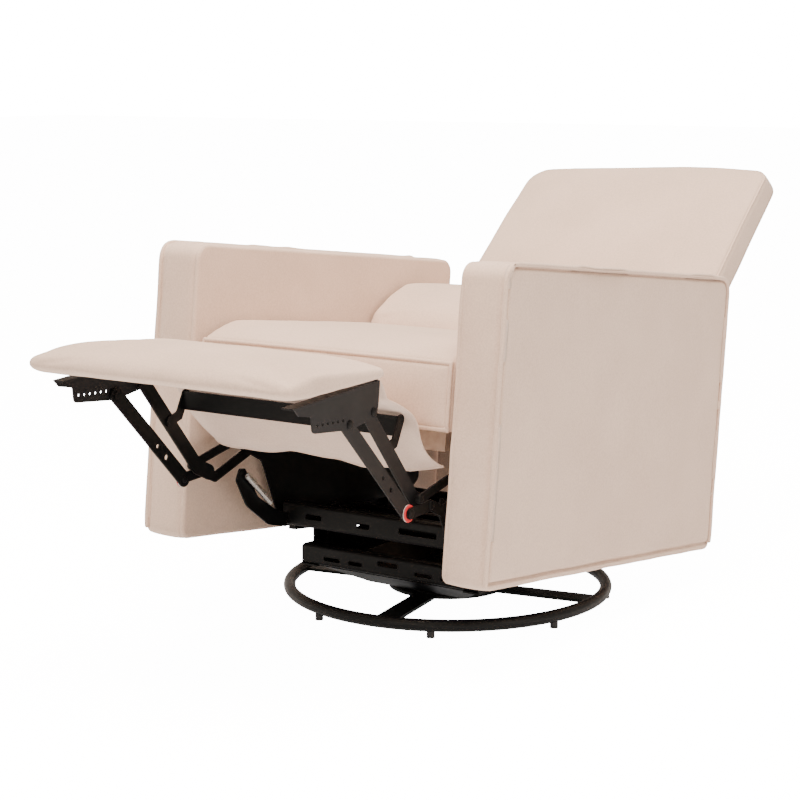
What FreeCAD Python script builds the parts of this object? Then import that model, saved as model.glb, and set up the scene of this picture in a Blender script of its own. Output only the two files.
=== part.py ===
import FreeCAD, Part
import math
import os
import Sketcher

# Swivel glider recliner for a nursery, modelled in its reclined pose with the footrest open.
# Frame: origin on the floor at the centre of the base ring, +Z up, -Y towards the footrest,
# +X towards the sitter's left arm. Lengths are millimetres.
# The upholstered body leans back, so its parts are drawn in a "chair frame" whose y runs back
# from the front of the arms and whose z runs up from the bottom of the arms, and the lean is
# added by each part's Placement.

SIZES = {
    # lean and place of the upholstered body
    "lean_angle": 6.63,
    "front_shift": -461.3,
    "front_height": 161.0,
    # arms and soft goods
    "arm_length": 857.0,
    "arm_height": 546.0,
    "arm_inner": 277.0,
    "arm_width": 102.5,
    "arm_front_round": 40.0,
    "arm_corner_round": 20.0,
    "arm_rear_round": 30.0,
    "board_width": 18.0,
    "board_slot": 19.0,
    "board_inset": 45.0,
    "board_height": 480.0,
    "seat_half": 272.0,
    "seat_front": 6.0,
    "seat_rear": 652.0,
    "seat_bottom": 252.0,
    "seat_top": 397.0,
    "seat_round": 24.0,
    "back_half": 266.0,
    "back_wide_half": 293.0,
    "pillow_half": 266.0,
    "pillow_radius": 43.0,
    "pillow_reach": 243.0,
    "pillow_pivot_back": 600.0,
    "pillow_pivot_up": 448.5,
    "footpad_half": 272.0,
    "curtain_half": 262.0,
    "curtain_thick": 3.0,
    "rear_panel_half": 276.0,
    "rear_panel_start": 832.0,
    "rear_panel_thick": 20.0,
    "rear_panel_bottom": 20.0,
    "rear_panel_height": 215.0,
    # base on the floor
    "ring_radius": 310.0,
    "ring_tube": 11.5,
    "ring_level": 22.5,
    "foot_radius": 7.5,
    "foot_height": 13.0,
    "foot_count": 8.0,
    "foot_first_angle": -107.5,
    "spoke_width": 44.0,
    "spoke_thick": 6.0,
    "spoke_level": 18.0,
    "spoke_first_angle": -80.0,
    "hub_radius": 115.0,
    "bearing_inner": 45.0,
    "bearing_outer": 80.0,
    "bearing_height": 7.7,
    "spindle_radius": 12.0,
    "spindle_bore": 12.06,
    "spindle_head": 20.0,
    # swivelling glide frame
    "sheet_metal": 3.0,
    "pan_bottom": 32.0,
    "pan_top": 72.0,
    "pan_bottom_half": 115.0,
    "pan_top_half_wide": 170.0,
    "pan_top_half_deep": 195.0,
    "rail_web": 199.0,
    "rail_half": 205.0,
    "rail_flange": 32.0,
    "rail_top": 112.0,
    "upright_top": 178.0,
    "swing_pivot_back": 100.0,
    "swing_top": 165.0,
    "swing_length": 75.0,
    "swing_half_width": 12.0,
    "swing_layer": 206.0,
    "swing_pin": 5.0,
    "swing_hole": 5.06,
    "panel_half": 198.6,
    "panel_bottom": 75.4,
    "panel_top": 114.0,
    "panel_depth": 18.0,
    # glide platform
    "platform_layer": 213.0,
    "platform_half": 150.0,
    "platform_beam_bottom": 112.0,
    "platform_beam_top": 150.0,
    "platform_foot_bottom": 76.0,
    "cross_rail_place": 40.0,
    "cross_rail_depth": 24.0,
    "cross_rail_bottom": 118.0,
    "cross_rail_top": 146.0,
    # steel frame under the seat
    "tilt_pivot_back": 440.0,
    "tilt_pivot_up": 24.0,
    "tilt_pin": 7.0,
    "tilt_hole": 7.06,
    "sub_rail_inner": 222.0,
    "sub_rail_width": 16.0,
    "sub_rail_start": 262.3,
    "sub_rail_length": 357.0,
    "sub_rail_bottom": 6.0,
    "sub_rail_height": 36.0,
    "front_rail_half": 234.4,
    "front_rail_start": 236.0,
    "front_rail_depth": 26.0,
    "front_rail_bottom": 18.0,
    "front_rail_height": 44.0,
    "rear_tube_radius": 14.0,
    "rear_tube_back": 660.0,
    "rear_tube_up": 52.0,
    "side_plate_layer": 256.0,
    "seat_rail_outer": 232.0,
    "seat_rail_width": 32.0,
    "seat_rail_front": 70.0,
    "seat_rail_rear": 648.0,
    "seat_rail_bottom": 216.0,
    "seat_rail_height": 34.0,
    "seat_spring_radius": 2.0,
    "spacer_radius": 11.0,
    "strap_layer": 222.0,
    "tension_spring_radius": 6.0,
    "tension_spring_layer": 214.0,
    # backrest hinge
    "back_pivot_back": 700.0,
    "back_pivot_up": 100.0,
    "back_bracket_layer": 269.6,
    "back_bracket_thick": 4.0,
    "back_pin": 8.0,
    "back_hole": 8.06,
    # footrest linkage: layers from the inside out, then pivots as (back, up) pairs
    "bent_arm_layer": 231.7,
    "rear_link_layer": 235.0,
    "front_link_layer": 242.0,
    "ground_link_layer": 249.0,
    "link_half_width": 14.0,
    "ground_link_half": 9.6,
    "upper_link_half": 8.2,
    "pivot_pin": 4.0,
    "pivot_hole": 4.06,
    "rivet_head": 7.5,
    "ground_rear_back": 177.3,
    "ground_rear_up": 180.6,
    "ground_front_back": 137.9,
    "ground_front_up": 198.0,
    "knee_back": -52.3,
    "knee_up": 119.6,
    "cross_back": 8.5,
    "cross_up": 130.2,
    "mid_back": -26.5,
    "mid_up": 142.7,
    "foot_front_back": -243.6,
    "foot_front_up": 275.1,
    "foot_rear_back": -179.7,
    "foot_rear_up": 293.6,
    "flange_width": 21.0,
    "bracket_hole": 2.8,
    "bar_back": -75.0,
    "bar_up": 265.0,
    "bar_half": 231.4,
    "bar_depth": 12.0,
    "bar_height": 33.0,
    "bush_radius": 8.0,
    "washer_radius": 11.0,
    "washer_thick": 3.2,
    # release tab beside the seat
    "tab_layer": 273.4,
    "tab_thick": 2.4,
    "tab_start": 300.0,
    "tab_width": 36.0,
    "tab_bottom": 325.0,
    "tab_height": 100.0,
}

os.makedirs("parts", exist_ok=True)
doc = FreeCAD.newDocument("glider_nursery_chair")
Vector = FreeCAD.Vector

sheet = doc.addObject("Spreadsheet::Sheet", "sizes")
for row, (alias, value) in enumerate(SIZES.items(), start=1):
    sheet.set(f"A{row}", alias)
    sheet.set(f"B{row}", str(value))
    sheet.setAlias(f"B{row}", alias)
doc.recompute()


def val(alias):
    """A driving size read back from the sheet."""
    return float(sheet.get(alias))


LEAN = FreeCAD.Placement(
    Vector(0, val("front_shift"), val("front_height")),
    FreeCAD.Rotation(Vector(1, 0, 0), -val("lean_angle")),
)
LEVEL = FreeCAD.Placement()
ALONG_X = FreeCAD.Rotation(Vector(0, 1, 0), 90)
SIDES = {"left": 1, "right": -1}
nodes = []


def placed(base, x=0.0, y=0.0, z=0.0, turn=None):
    return base.multiply(FreeCAD.Placement(Vector(x, y, z), turn or FreeCAD.Rotation()))


def node(obj, label):
    """Names an object as a sub-part that is written to its own file."""
    obj.Label = label
    nodes.append(obj)
    return obj


# ---------------------------------------------------------------- outlines

def rounded_path(corners):
    """Straight runs joined by tangent arcs round corners given as (u, v) or (u, v, radius)."""
    count = len(corners)
    entries = []
    for i, corner in enumerate(corners):
        here = Vector(corner[0], corner[1], 0)
        radius = corner[2] if len(corner) > 2 else 0
        if not radius:
            entries.append((here, None, here))
            continue
        before = corners[i - 1]
        after = corners[(i + 1) % count]
        to_before = (Vector(before[0], before[1], 0) - here).normalize()
        to_after = (Vector(after[0], after[1], 0) - here).normalize()
        half = to_before.getAngle(to_after) / 2
        reach = radius / math.tan(half)
        bisector = (to_before + to_after).normalize()
        middle = here + bisector * (radius / math.sin(half) - radius)
        entries.append((here + to_before * reach, middle, here + to_after * reach))
    edges = []
    for i, (start, middle, end) in enumerate(entries):
        if middle:
            edges.append(Part.Arc(start, middle, end))
        following = entries[(i + 1) % count][0]
        if (following - end).Length > 1e-4:
            edges.append(Part.LineSegment(end, following))
    return edges


def strip(points, half, bend=8.0):
    """Corners of a bar of constant width along a run of points, with round ends."""
    line = [Vector(u, v, 0) for u, v in points]
    first = (line[0] - line[1]).normalize()
    last = (line[-1] - line[-2]).normalize()
    line[0] = line[0] + first * half
    line[-1] = line[-1] + last * half
    sides = ([], [])
    for i, here in enumerate(line):
        along_in = (here - line[i - 1]).normalize() if i else first * -1
        along_out = (line[i + 1] - here).normalize() if i < len(line) - 1 else last
        normal_in = Vector(-along_in.y, along_in.x, 0)
        normal_out = Vector(-along_out.y, along_out.x, 0)
        mitre = (normal_in + normal_out).normalize()
        reach = half / mitre.dot(normal_in)
        radius = bend if 0 < i < len(line) - 1 else half - 0.001
        for sign, side in zip((1, -1), sides):
            place = here + mitre * (sign * reach)
            side.append((place.x, place.y, radius))
    return sides[0] + sides[1][::-1]


# ---------------------------------------------------------------- features

def new_body(label):
    return node(doc.addObject("PartDesign::Body", label), label)


def sketch_on(body, role, offset=0.0):
    name = f"{body.Name}_sketch_{len(body.Group)}"
    sketch = body.newObject("Sketcher::SketchObject", name)
    plane = next(f for f in body.Origin.OriginFeatures if f.Role == role)
    sketch.AttachmentSupport = [(plane, "")]
    sketch.MapMode = "FlatFace"
    sketch.AttachmentOffset = FreeCAD.Placement(Vector(0, 0, offset), FreeCAD.Rotation())
    return sketch


def draw(sketch, corners):
    sketch.addGeometry(rounded_path(corners), False)


def hole(sketch, u, v, alias):
    index = sketch.addGeometry(Part.Circle(Vector(u, v, 0), Vector(0, 0, 1), val(alias)), False)
    constraint = sketch.addConstraint(Sketcher.Constraint("Radius", index, val(alias)))
    name = f"radius_{index}"
    sketch.renameConstraint(constraint, name)
    sketch.setExpression(f"Constraints.{name}", f"sizes.{alias}")


def box_corners(low_u, low_v, high_u, high_v, radius=0.0):
    return [
        (low_u, low_v, radius),
        (high_u, low_v, radius),
        (high_u, high_v, radius),
        (low_u, high_v, radius),
    ]


def rectangle(sketch, low_u, low_v, wide, high):
    """A rectangle whose place and size are expressions of the sheet."""
    low = [doc_value(low_u), doc_value(low_v)]
    span = [doc_value(wide), doc_value(high)]
    points = [
        Vector(low[0], low[1], 0),
        Vector(low[0] + span[0], low[1], 0),
        Vector(low[0] + span[0], low[1] + span[1], 0),
        Vector(low[0], low[1] + span[1], 0),
    ]
    first = sketch.GeometryCount
    for i in range(4):
        sketch.addGeometry(Part.LineSegment(points[i], points[(i + 1) % 4]), False)
    for i in range(4):
        following = first + (i + 1) % 4
        sketch.addConstraint(Sketcher.Constraint("Coincident", first + i, 2, following, 1))
    for i, kind in enumerate(("Horizontal", "Vertical", "Horizontal", "Vertical")):
        sketch.addConstraint(Sketcher.Constraint(kind, first + i))
    for kind, ends, text in (
        ("DistanceX", (-1, 1, first, 1), low_u),
        ("DistanceY", (-1, 1, first, 1), low_v),
        ("DistanceX", (first, 1, first, 2), wide),
        ("DistanceY", (first + 1, 1, first + 1, 2), high),
    ):
        index = sketch.addConstraint(Sketcher.Constraint(kind, *ends, doc_value(text)))
        name = f"size_{index}"
        sketch.renameConstraint(index, name)
        sketch.setExpression(f"Constraints.{name}", text)


def doc_value(text):
    """The number that an expression of the sheet gives now."""
    return float(sheet.evalExpression(text.replace("sizes.", "")))


def pad(body, sketch, length, reverse=False, middle=False):
    feature = body.newObject("PartDesign::Pad", f"{body.Name}_pad_{len(body.Group)}")
    feature.Profile = sketch
    feature.setExpression("Length", length)
    feature.Reversed = reverse
    feature.Midplane = middle
    doc.recompute()
    return feature


def pocket(body, sketch, length, reverse=False, middle=False):
    """Cuts a sketch out of its body and makes sure that something was cut."""
    before = body.Shape.Volume
    feature = body.newObject("PartDesign::Pocket", f"{body.Name}_cut_{len(body.Group)}")
    feature.Profile = sketch
    feature.setExpression("Length", length)
    feature.Reversed = reverse
    feature.Midplane = middle
    doc.recompute()
    if body.Shape.Volume > before - 1:
        raise RuntimeError(f"{feature.Name} cuts nothing")
    return feature


def plate(label, side, layer, corners, holes=(), base=LEAN, thick="sheet_metal"):
    """A stamped plate that stands lengthways, its inner face at layer from the middle."""
    body = new_body(label)
    sketch = sketch_on(body, "YZ_Plane")
    draw(sketch, corners)
    for back, up, alias in holes:
        hole(sketch, back, up, alias)
    pad(body, sketch, f"sizes.{thick}")
    inner = val(layer)
    body.Placement = placed(base, inner if side > 0 else -inner - val(thick))
    return body


def across(label, corners, half, base=LEAN):
    """A piece of constant profile that runs from side to side, centred on the middle plane."""
    body = new_body(label)
    sketch = sketch_on(body, "YZ_Plane")
    draw(sketch, corners)
    pad(body, sketch, f"2 * sizes.{half}", middle=True)
    body.Placement = base
    return body


def cut_windows(body, role, windows, depth):
    """Cuts rectangular windows, given as (low u, low v, high u, high v), right through."""
    sketch = sketch_on(body, role)
    for window in windows:
        draw(sketch, box_corners(*window, 3.0))
    pocket(body, sketch, depth, middle=True)


def pin(name, side, start, end, radius, back, up, base=LEAN):
    """A round pin across the chair, between two distances from the middle."""
    shape = doc.addObject("Part::Cylinder", name)
    shape.setExpression("Radius", radius)
    shape.setExpression("Height", f"({end}) - ({start})")
    place = doc_value(start) if side > 0 else -doc_value(end)
    shape.Placement = placed(base, place, back, up, ALONG_X)
    return shape


def block(name, low, span, base=LEAN):
    """A box from its low corner, with its spans given as expressions of the sheet."""
    shape = doc.addObject("Part::Box", name)
    for prop, text in zip(("Length", "Width", "Height"), span):
        shape.setExpression(prop, text)
    shape.Placement = placed(base, *low)
    return shape


def fused(name, shapes):
    result = doc.addObject("Part::MultiFuse", name)
    result.Shapes = shapes
    return result


def cut(name, base, tool):
    result = doc.addObject("Part::Cut", name)
    result.Base = base
    result.Tool = tool
    return result


def group(label, members):
    """Separate solids of one kind that share a node."""
    result = doc.addObject("Part::Compound", label)
    result.Links = members
    return node(result, label)


# ---------------------------------------------------------------- base on the floor

def ring_torus(name):
    torus = doc.addObject("Part::Torus", name)
    torus.setExpression("Radius1", "sizes.ring_radius")
    torus.setExpression("Radius2", "sizes.ring_tube")
    torus.Placement = placed(LEVEL, z=val("ring_level"))
    return torus


def upright_cylinder(name, radius, height, x, y, z):
    shape = doc.addObject("Part::Cylinder", name)
    shape.setExpression("Radius", radius)
    shape.setExpression("Height", height)
    shape.Placement = placed(LEVEL, x, y, z)
    return shape


def build_base():
    node(ring_torus("base_ring"), "base_ring")

    level = val("spoke_level")
    bars = []
    for i in range(4):
        turn = FreeCAD.Rotation(Vector(0, 0, 1), val("spoke_first_angle") + 90 * i)
        bar = doc.addObject("Part::Box", f"spoke_{i}")
        bar.setExpression("Length", "sizes.ring_radius - sizes.hub_radius / 2")
        bar.setExpression("Width", "sizes.spoke_width")
        bar.setExpression("Height", "sizes.spoke_thick")
        start = Vector(val("hub_radius") / 2, -val("spoke_width") / 2, 0)
        bar.Placement = FreeCAD.Placement(turn.multVec(start) + Vector(0, 0, level), turn)
        bars.append(bar)
    hub_tool = upright_cylinder("hub_tool", "sizes.hub_radius", "3 * sizes.spoke_thick", 0, 0,
                                level - val("spoke_thick"))
    keep_out = fused("spoke_keep_out", [ring_torus("spoke_ring_tool"), hub_tool])
    node(cut("base_spokes", fused("spoke_bars", bars), keep_out), "base_spokes")

    hub = upright_cylinder("hub_plate", "sizes.hub_radius", "sizes.spoke_thick", 0, 0, level)
    node(hub, "hub_plate")

    hub_top = level + val("spoke_thick")
    bearing = new_body("swivel_bearing")
    race = sketch_on(bearing, "XY_Plane")
    hole(race, 0, 0, "bearing_outer")
    hole(race, 0, 0, "bearing_inner")
    pad(bearing, race, "sizes.bearing_height")
    bearing.Placement = placed(LEVEL, z=hub_top)

    # The spindle stands on the hub plate and keeps the pan down with its head.
    spindle = new_body("swivel_spindle")
    profile = sketch_on(spindle, "XZ_Plane")
    shoulder = val("pan_bottom") + val("sheet_metal") + 0.5
    top = shoulder + 10
    draw(profile, [
        (0, hub_top),
        (val("spindle_radius"), hub_top),
        (val("spindle_radius"), shoulder),
        (val("spindle_head"), shoulder),
        (val("spindle_head"), top, 2),
        (0, top),
    ])
    turned = spindle.newObject("PartDesign::Revolution", "spindle_revolution")
    turned.Profile = profile
    turned.ReferenceAxis = (profile, ["V_Axis"])
    turned.Angle = 360

    feet = []
    count = int(val("foot_count"))
    for i in range(count):
        angle = math.radians(val("foot_first_angle") + 360 / count * i)
        x = val("ring_radius") * math.cos(angle)
        y = val("ring_radius") * math.sin(angle)
        feet.append(upright_cylinder(f"foot_{i}", "sizes.foot_radius", "sizes.foot_height", x, y, 0))
    feet_cut = cut("glide_feet", fused("feet_bars", feet), ring_torus("feet_ring_tool"))
    node(feet_cut, "glide_feet")


# ---------------------------------------------------------------- swivelling glide frame

def build_swivel_frame():
    pan = new_body("swivel_pan")
    wall = val("sheet_metal")
    bottom = val("pan_bottom")
    top = val("pan_top")
    low = val("pan_bottom_half")
    wide = val("pan_top_half_wide")
    deep = val("pan_top_half_deep")
    for kind, base, inset in (("AdditiveLoft", bottom, 0), ("SubtractiveLoft", bottom + wall, wall)):
        first = sketch_on(pan, "XY_Plane", base)
        draw(first, box_corners(inset - low, inset - low, low - inset, low - inset, 12))
        second = sketch_on(pan, "XY_Plane", top)
        draw(second, box_corners(inset - wide, inset - deep, wide - inset, deep - inset, 12))
        loft = pan.newObject(f"PartDesign::{kind}", f"pan_{kind}")
        loft.Profile = first
        loft.Sections = [second]
        doc.recompute()
    bore = sketch_on(pan, "XY_Plane", bottom)
    hole(bore, 0, 0, "spindle_bore")
    pocket(pan, bore, "sizes.sheet_metal * 2", reverse=True)

    rails = []
    half = val("rail_half")
    base = val("pan_top")
    beam = val("rail_top")
    pivot = val("swing_pivot_back")
    tip = val("upright_top")
    for side_name, side in SIDES.items():
        body = doc.addObject("PartDesign::Body", f"lower_rail_{side_name}")
        web = sketch_on(body, "YZ_Plane")
        draw(web, [
            (-half, base),
            (half, base),
            (half, beam, 6),
            (pivot + 24, beam, 4),
            (pivot + 13, tip, 10),
            (pivot - 13, tip, 10),
            (pivot - 24, beam, 4),
            (24 - pivot, beam, 4),
            (13 - pivot, tip, 10),
            (-pivot - 13, tip, 10),
            (-pivot - 24, beam, 4),
            (-half, beam, 6),
        ])
        for sign in (-1, 1):
            hole(web, sign * pivot, val("swing_top"), "swing_pin")
        pad(body, web, "sizes.sheet_metal")
        flange = sketch_on(body, "XY_Plane", base)
        if side > 0:
            rectangle(flange, "-sizes.rail_flange", "-sizes.rail_half", "sizes.rail_flange",
                      "2 * sizes.rail_half")
        else:
            rectangle(flange, "sizes.sheet_metal", "-sizes.rail_half", "sizes.rail_flange",
                      "2 * sizes.rail_half")
        pad(body, flange, "sizes.sheet_metal")
        web_x = val("rail_web")
        body.Placement = placed(LEVEL, web_x if side > 0 else -web_x - wall)
        rails.append(body)
    group("lower_rails", rails)

    panels = []
    for end_name, end in (("front", -1), ("rear", 1)):
        body = doc.addObject("PartDesign::Body", f"lower_panel_{end_name}")
        profile = sketch_on(body, "YZ_Plane")
        draw(profile, channel_corners(0, val("panel_bottom"), val("panel_depth"), val("panel_top")))
        pad(body, profile, "2 * sizes.panel_half", middle=True)
        cut_windows(body, "XZ_Plane", (
            (-150, 86, -112, 94),
            (-92, 86, -60, 94),
            (-24, 94, 22, 104),
            (60, 86, 98, 94),
            (118, 86, 150, 94),
        ), "20 * sizes.sheet_metal")
        turn = FreeCAD.Rotation(Vector(0, 0, 1), 0 if end < 0 else 180)
        body.Placement = placed(LEVEL, y=end * half, turn=turn)
        panels.append(body)
    group("lower_cross_panels", panels)

    pins = []
    for side_name, side in SIDES.items():
        for sign in (-1, 1):
            name = f"upper_pin_{side_name}_{'front' if sign < 0 else 'rear'}"
            back = sign * pivot
            shank = pin(name + "_shank", side, "sizes.rail_web - 3", "sizes.swing_layer + 4.5",
                        "sizes.swing_pin", back, val("swing_top"), LEVEL)
            cap = pin(name + "_cap", side, "sizes.swing_layer + 3.3", "sizes.swing_layer + 5",
                      "sizes.rivet_head", back, val("swing_top"), LEVEL)
            pins.append(fused(name, [shank, cap]))
    group("upper_link_pins", pins)


def channel_corners(start, low, depth, high, inward=1):
    """Profile of a pressed channel: a web at start with a flange at the top and the bottom."""
    wall = val("sheet_metal")
    inner = start + inward * wall
    end = start + inward * depth
    return [
        (start, low, 6),
        (end, low),
        (end, low + wall),
        (inner, low + wall, 3),
        (inner, high - wall, 3),
        (end, high - wall),
        (end, high),
        (start, high, 6),
    ]


def build_swing_links():
    top = val("swing_top")
    low = top - val("swing_length")
    for side_name, side in SIDES.items():
        for end_name, end in (("front", -1), ("rear", 1)):
            back = end * val("swing_pivot_back")
            plate(f"swing_link_{end_name}_{side_name}", side, "swing_layer",
                  strip([(back, low), (back, top)], val("swing_half_width")),
                  [(back, low, "swing_hole"), (back, top, "swing_hole")], LEVEL)


# ---------------------------------------------------------------- glide platform

def build_platform():
    half = val("platform_half")
    pivot = val("swing_pivot_back")
    foot = val("platform_foot_bottom")
    beam = val("platform_beam_bottom")
    top = val("platform_beam_top")
    low_pivot = val("swing_top") - val("swing_length")
    tilt = LEAN.multVec(Vector(0, val("tilt_pivot_back"), val("tilt_pivot_up")))
    sides = []
    for side_name, side in SIDES.items():
        body = doc.addObject("PartDesign::Body", f"platform_side_{side_name}")
        outline = sketch_on(body, "YZ_Plane")
        draw(outline, [
            (-half, foot, 8),
            (-pivot + 18, foot, 8),
            (-pivot + 40, beam, 8),
            (pivot - 40, beam, 8),
            (pivot - 18, foot, 8),
            (half, foot, 8),
            (half, top, 10),
            (-half, top, 10),
        ])
        for sign in (-1, 1):
            hole(outline, sign * pivot, low_pivot, "swing_pin")
        hole(outline, tilt.y, tilt.z, "tilt_hole")
        pad(body, outline, "sizes.sheet_metal")
        layer = val("platform_layer")
        body.Placement = placed(LEVEL, layer if side > 0 else -layer - val("sheet_metal"))
        sides.append(body)
    group("platform_sides", sides)

    rails = []
    for end_name, end in (("front", -1), ("rear", 1)):
        body = doc.addObject("PartDesign::Body", f"cross_rail_{end_name}")
        profile = sketch_on(body, "YZ_Plane")
        draw(profile, channel_corners(0, val("cross_rail_bottom"), val("cross_rail_depth"),
                                      val("cross_rail_top")))
        pad(body, profile, "2 * sizes.platform_layer - 0.6", middle=True)
        turn = FreeCAD.Rotation(Vector(0, 0, 1), 0 if end < 0 else 180)
        body.Placement = placed(LEVEL, y=end * val("cross_rail_place"), turn=turn)
        rails.append(body)
    group("platform_cross_rails", rails)

    pins = []
    for side_name, side in SIDES.items():
        for sign in (-1, 1):
            name = f"lower_pin_{side_name}_{'front' if sign < 0 else 'rear'}"
            shank = pin(name + "_shank", side, "sizes.swing_layer - 1",
                        "sizes.platform_layer + 5", "sizes.swing_pin", sign * pivot, low_pivot, LEVEL)
            cap = pin(name + "_cap", side, "sizes.platform_layer + 3", "sizes.platform_layer + 5.5",
                      "sizes.rivet_head", sign * pivot, low_pivot, LEVEL)
            pins.append(fused(name, [shank, cap]))
    group("lower_link_pins", pins)


# ---------------------------------------------------------------- steel frame under the seat

def build_chair_frame():
    for side_name, side in SIDES.items():
        plate(f"side_plate_{side_name}", side, "side_plate_layer", [
            (80, 236, 10),
            (86, 178, 14),
            (190, 140, 20),
            (262, 8, 16),
            (640, 8, 20),
            (738, 76, 20),
            (728, 128, 20),
            (640, 236, 20),
        ], [
            (val("ground_rear_back"), val("ground_rear_up"), "pivot_pin"),
            (val("ground_front_back"), val("ground_front_up"), "pivot_pin"),
            (val("back_pivot_back"), val("back_pivot_up"), "back_pin"),
        ])

    front = across("front_cross_rail", channel_corners(
        val("front_rail_start"), val("front_rail_bottom"), val("front_rail_depth"),
        val("front_rail_bottom") + val("front_rail_height")), "front_rail_half")
    cut_windows(front, "XZ_Plane", (
        (-180, 34, -142, 44),
        (-60, 32, -30, 42),
        (36, 34, 120, 46),
        (160, 34, 190, 44),
    ), "4 * sizes.front_rail_start")

    rails = []
    for side_name, side in SIDES.items():
        inner = val("sub_rail_inner")
        low_x = inner if side > 0 else -inner - val("sub_rail_width")
        rails.append(block(f"sub_rail_{side_name}",
                           (low_x, val("sub_rail_start"), val("sub_rail_bottom")),
                           ("sizes.sub_rail_width", "sizes.sub_rail_length",
                            "sizes.sub_rail_height")))
    group("sub_rails", rails)

    tube = pin("rear_cross_tube", 1, "-sizes.side_plate_layer", "sizes.side_plate_layer",
               "sizes.rear_tube_radius", val("rear_tube_back"), val("rear_tube_up"))
    node(tube, "rear_cross_tube")

    # Four wooden rails carry the seat springs.
    outer = val("seat_rail_outer")
    width = val("seat_rail_width")
    start = val("seat_rail_front")
    end = val("seat_rail_rear")
    bottom = val("seat_rail_bottom")
    members = []
    for side_name, side in SIDES.items():
        low_x = outer - width if side > 0 else -outer
        members.append(block(f"seat_rail_{side_name}", (low_x, start, bottom),
                             ("sizes.seat_rail_width", "sizes.seat_rail_rear - sizes.seat_rail_front",
                              "sizes.seat_rail_height")))
    for end_name, low_y in (("front", start), ("rear", end - width)):
        members.append(block(f"seat_rail_{end_name}", (width - outer, low_y, bottom),
                             ("2 * (sizes.seat_rail_outer - sizes.seat_rail_width)",
                              "sizes.seat_rail_width", "sizes.seat_rail_height")))
    group("seat_rails", members)

    springs = []
    for i in range(5):
        x = (i - 2) * 72.0
        wire = doc.addObject("Part::Cylinder", f"seat_spring_{i}")
        wire.setExpression("Radius", "sizes.seat_spring_radius")
        wire.setExpression("Height",
                           "sizes.seat_rail_rear - sizes.seat_rail_front - 2 * sizes.seat_rail_width")
        turn = FreeCAD.Rotation(Vector(1, 0, 0), -90)
        wire.Placement = placed(LEAN, x, start + width, bottom + val("seat_rail_height") - 6, turn)
        springs.append(wire)
    group("seat_springs", springs)

    spacers = []
    for side_name, side in SIDES.items():
        for i, back in enumerate((335, 560)):
            spacers.append(pin(f"rail_spacer_{side_name}_{i}", side,
                               "sizes.sub_rail_inner + sizes.sub_rail_width",
                               "sizes.side_plate_layer", "sizes.spacer_radius", back,
                               val("sub_rail_bottom") + val("sub_rail_height") / 2))
            low_x = outer if side > 0 else -val("side_plate_layer")
            spacers.append(block(f"seat_bracket_{side_name}_{i}", (low_x, back - 20, bottom),
                                 ("sizes.side_plate_layer - sizes.seat_rail_outer", "40", "8")))
    group("frame_spacers", spacers)

    bolts = []
    for side_name, side in SIDES.items():
        for i, (back, up) in enumerate(((320, 60), (320, 190), (600, 60), (600, 200))):
            bolts.append(pin(f"arm_spacer_{side_name}_{i}", side,
                             "sizes.side_plate_layer + sizes.sheet_metal", "sizes.arm_inner",
                             "sizes.spacer_radius", back, up))
    group("arm_spacers", bolts)

    pins = []
    for side_name, side in SIDES.items():
        pins.append(pin(f"tilt_pin_{side_name}", side, "sizes.platform_layer - 3",
                        "sizes.sub_rail_inner", "sizes.tilt_pin", val("tilt_pivot_back"),
                        val("tilt_pivot_up")))
        for i, end in enumerate(("rear", "front")):
            back = val(f"ground_{end}_back")
            up = val(f"ground_{end}_up")
            name = f"ground_pin_{side_name}_{i}"
            shank = pin(name + "_shank", side, "sizes.ground_link_layer - 2.4",
                        "sizes.side_plate_layer + sizes.sheet_metal + 2", "sizes.pivot_pin", back, up)
            cap = pin(name + "_cap", side, "sizes.ground_link_layer - 2.6",
                      "sizes.ground_link_layer - 0.3", "sizes.rivet_head", back, up)
            pins.append(fused(name, [shank, cap]))
        pins.append(pin(f"back_pin_{side_name}", side, "sizes.side_plate_layer - 3",
                        "sizes.back_bracket_layer + sizes.back_bracket_thick + 1",
                        "sizes.back_pin", val("back_pivot_back"), val("back_pivot_up")))
    group("frame_pins", pins)

    straps = []
    coils = []
    for side_name, side in SIDES.items():
        body = doc.addObject("PartDesign::Body", f"curved_strap_{side_name}")
        sketch = sketch_on(body, "YZ_Plane")
        draw(sketch, [
            (80, 134, 5),
            (72, 112, 8),
            (108, 62, 40),
            (178, 22, 30),
            (235.6, 14, 4),
            (235.6, 42, 4),
            (206, 46, 30),
            (140, 78, 30),
            (96, 134, 6),
        ])
        pad(body, sketch, "sizes.sheet_metal")
        layer = val("strap_layer")
        body.Placement = placed(LEAN, layer if side > 0 else -layer - val("sheet_metal"))
        straps.append(body)
        coil = doc.addObject("Part::Cylinder", f"tension_spring_{side_name}")
        coil.setExpression("Radius", "sizes.tension_spring_radius")
        coil.Height = 96
        direction = FreeCAD.Rotation(Vector(0, 0, 1), Vector(0, 78, -56))
        coil.Placement = placed(LEAN, side * val("tension_spring_layer"), 92, 122, direction)
        coils.append(coil)
    group("curved_straps", straps)
    group("tension_springs", coils)


# ---------------------------------------------------------------- soft goods

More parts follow.
